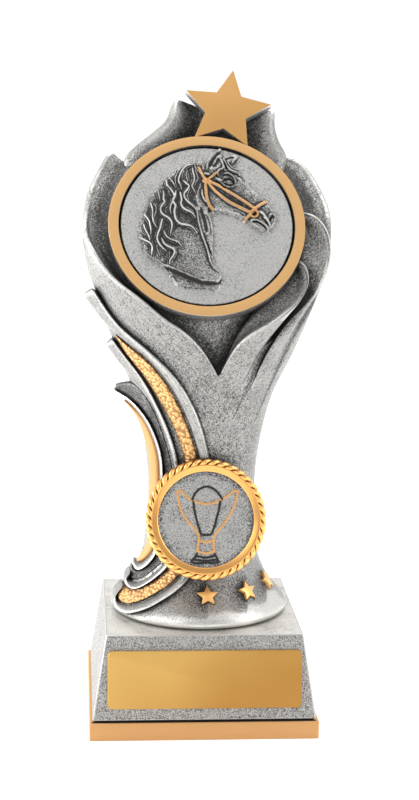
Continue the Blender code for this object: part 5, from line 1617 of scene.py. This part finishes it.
# Round each small star: partly stain, partly painted shade.
for degrees, height in SMALL_STARS:
    spot = body_point(np.radians(degrees), height)[[0, 2]]
    short_line = [spot - (0.3, 0.0), spot, spot + (0.3, 0.0)]
    STAIN_SHADE_AND_LIGHT_LINES.append((("tower_body",), short_line, STAR_SHADE, STAR_STAIN_AND_SHADE))


def line_share_from_front(places, line, width):
    """1 on a line drawn as seen from the front, fading over its width and towards the back."""
    near, at = from_line(places[:, [0, 2]] / MM, line, 40, 3 * width)
    thin = 1.02 - np.clip(at, 0, 1)
    front = np.clip((-3 * MM - places[:, 1]) / (6 * MM), 0, 1)
    return np.exp(-(near / (width * thin**0.7)) ** 2) * thin**0.4 * front


print(len(STAIN_SHADE_AND_LIGHT_LINES), "lines of stain, painted shade and painted light")

# %% How closed in and how sharp
LOOKS = 40
LOOK_REACH = 11.0 * MM
LIFT_OFF = 0.06
STEEP = 0.12


def look_directions():
    """Directions spread evenly over a ball, wound up it by the golden angle."""
    turn = math.pi * (3 - math.sqrt(5))
    z = 1 - 2 * (np.arange(LOOKS) + 0.5) / LOOKS
    flat = np.sqrt(1 - z**2)
    round_it = turn * np.arange(LOOKS)
    return np.stack([flat * np.cos(round_it), flat * np.sin(round_it), z], axis=1)


def closed_in(tree, places, normals):
    """The share of each point's view outwards that something near fills, nearer things counting more."""
    ways = look_directions()
    vectors = [Vector(way) for way in ways]
    facing = normals @ ways.T
    hollow = np.zeros(len(places))
    for i in range(len(places)):
        start = Vector(places[i] + normals[i] * LIFT_OFF * MM)
        total = closed = 0.0
        for j in np.nonzero(facing[i] > STEEP)[0]:
            weight = facing[i, j]
            total += weight
            distance = tree.ray_cast(start, vectors[j], LOOK_REACH)[3]
            if distance is not None:
                closed += weight * (1 - distance / LOOK_REACH)
        hollow[i] = closed / total
    return hollow


def roundness(mesh, places, normals):
    """How sharply the surface bulges at each point, in 1/mm, and below 0 where it is a valley."""
    ends = np.empty(len(mesh.edges) * 2, np.int64)
    mesh.edges.foreach_get("vertices", ends)
    a, b = ends.reshape(-1, 2).T
    way = places[a] - places[b]
    square = np.maximum((way**2).sum(1), 1e-12)
    bulge, count = np.zeros(len(places)), np.zeros(len(places))
    for here, sign in ((a, 1.0), (b, -1.0)):
        np.add.at(bulge, here, sign * (normals[here] * way).sum(1) / square)
        np.add.at(count, here, 1.0)
    return bulge / np.maximum(count, 1.0) * MM * 2


print(LOOKS, "looks from each point,", LOOK_REACH / MM, "mm far")

# %% Marking the pieces
BURNISH_AND_HIGHLIGHT = 0.25
VALLEY_LIMIT, BULGE_LIMIT = -0.3, 0.8


def mark_hollows(marked, around):
    """Writes each point's hollow number, from 0 in the open to 1 when closed in, less on sharp bulges."""
    work = bmesh.new()
    for piece in around:
        work.from_mesh(piece.data)
    tree = BVHTree.FromBMesh(work)
    work.free()
    for piece in marked:
        count = len(piece.data.vertices)
        places, normals = np.empty(count * 3), np.empty(count * 3)
        piece.data.vertices.foreach_get("co", places)
        piece.data.vertex_normals.foreach_get("vector", normals)
        places, normals = places.reshape(-1, 3), normals.reshape(-1, 3)
        hollow = closed_in(tree, places, normals)
        # Sharp bulges lower the number and get lighter paint: partly wear, partly painted highlight.
        hollow -= BURNISH_AND_HIGHLIGHT * np.clip(roundness(piece.data, places, normals), VALLEY_LIMIT, BULGE_LIMIT)
        hollow += MORE_STAIN.get(piece.name, 0.0)
        if "inside" in piece.data.attributes:
            inside = np.empty(count)
            piece.data.attributes["inside"].data.foreach_get("value", inside)
            hollow += INSIDE_STAIN * inside
        for names, line, width, amount in STAIN_SHADE_AND_LIGHT_LINES:
            if piece.name in names:
                hollow += amount * line_share_from_front(places, line, width)
        made = piece.data.attributes.new("hollow", "FLOAT", "POINT")
        made.data.foreach_set("value", hollow.astype(np.float32))
        print(piece.name, "hollow", round(float(hollow.mean()), 2), "to", round(float(hollow.max()), 2))


tower_pieces = [body, *petals, *ribbons, *flames, ring, star, web, stub, *small_stars, holder]
mark_hollows(tower_pieces, [*tower_pieces, horse])
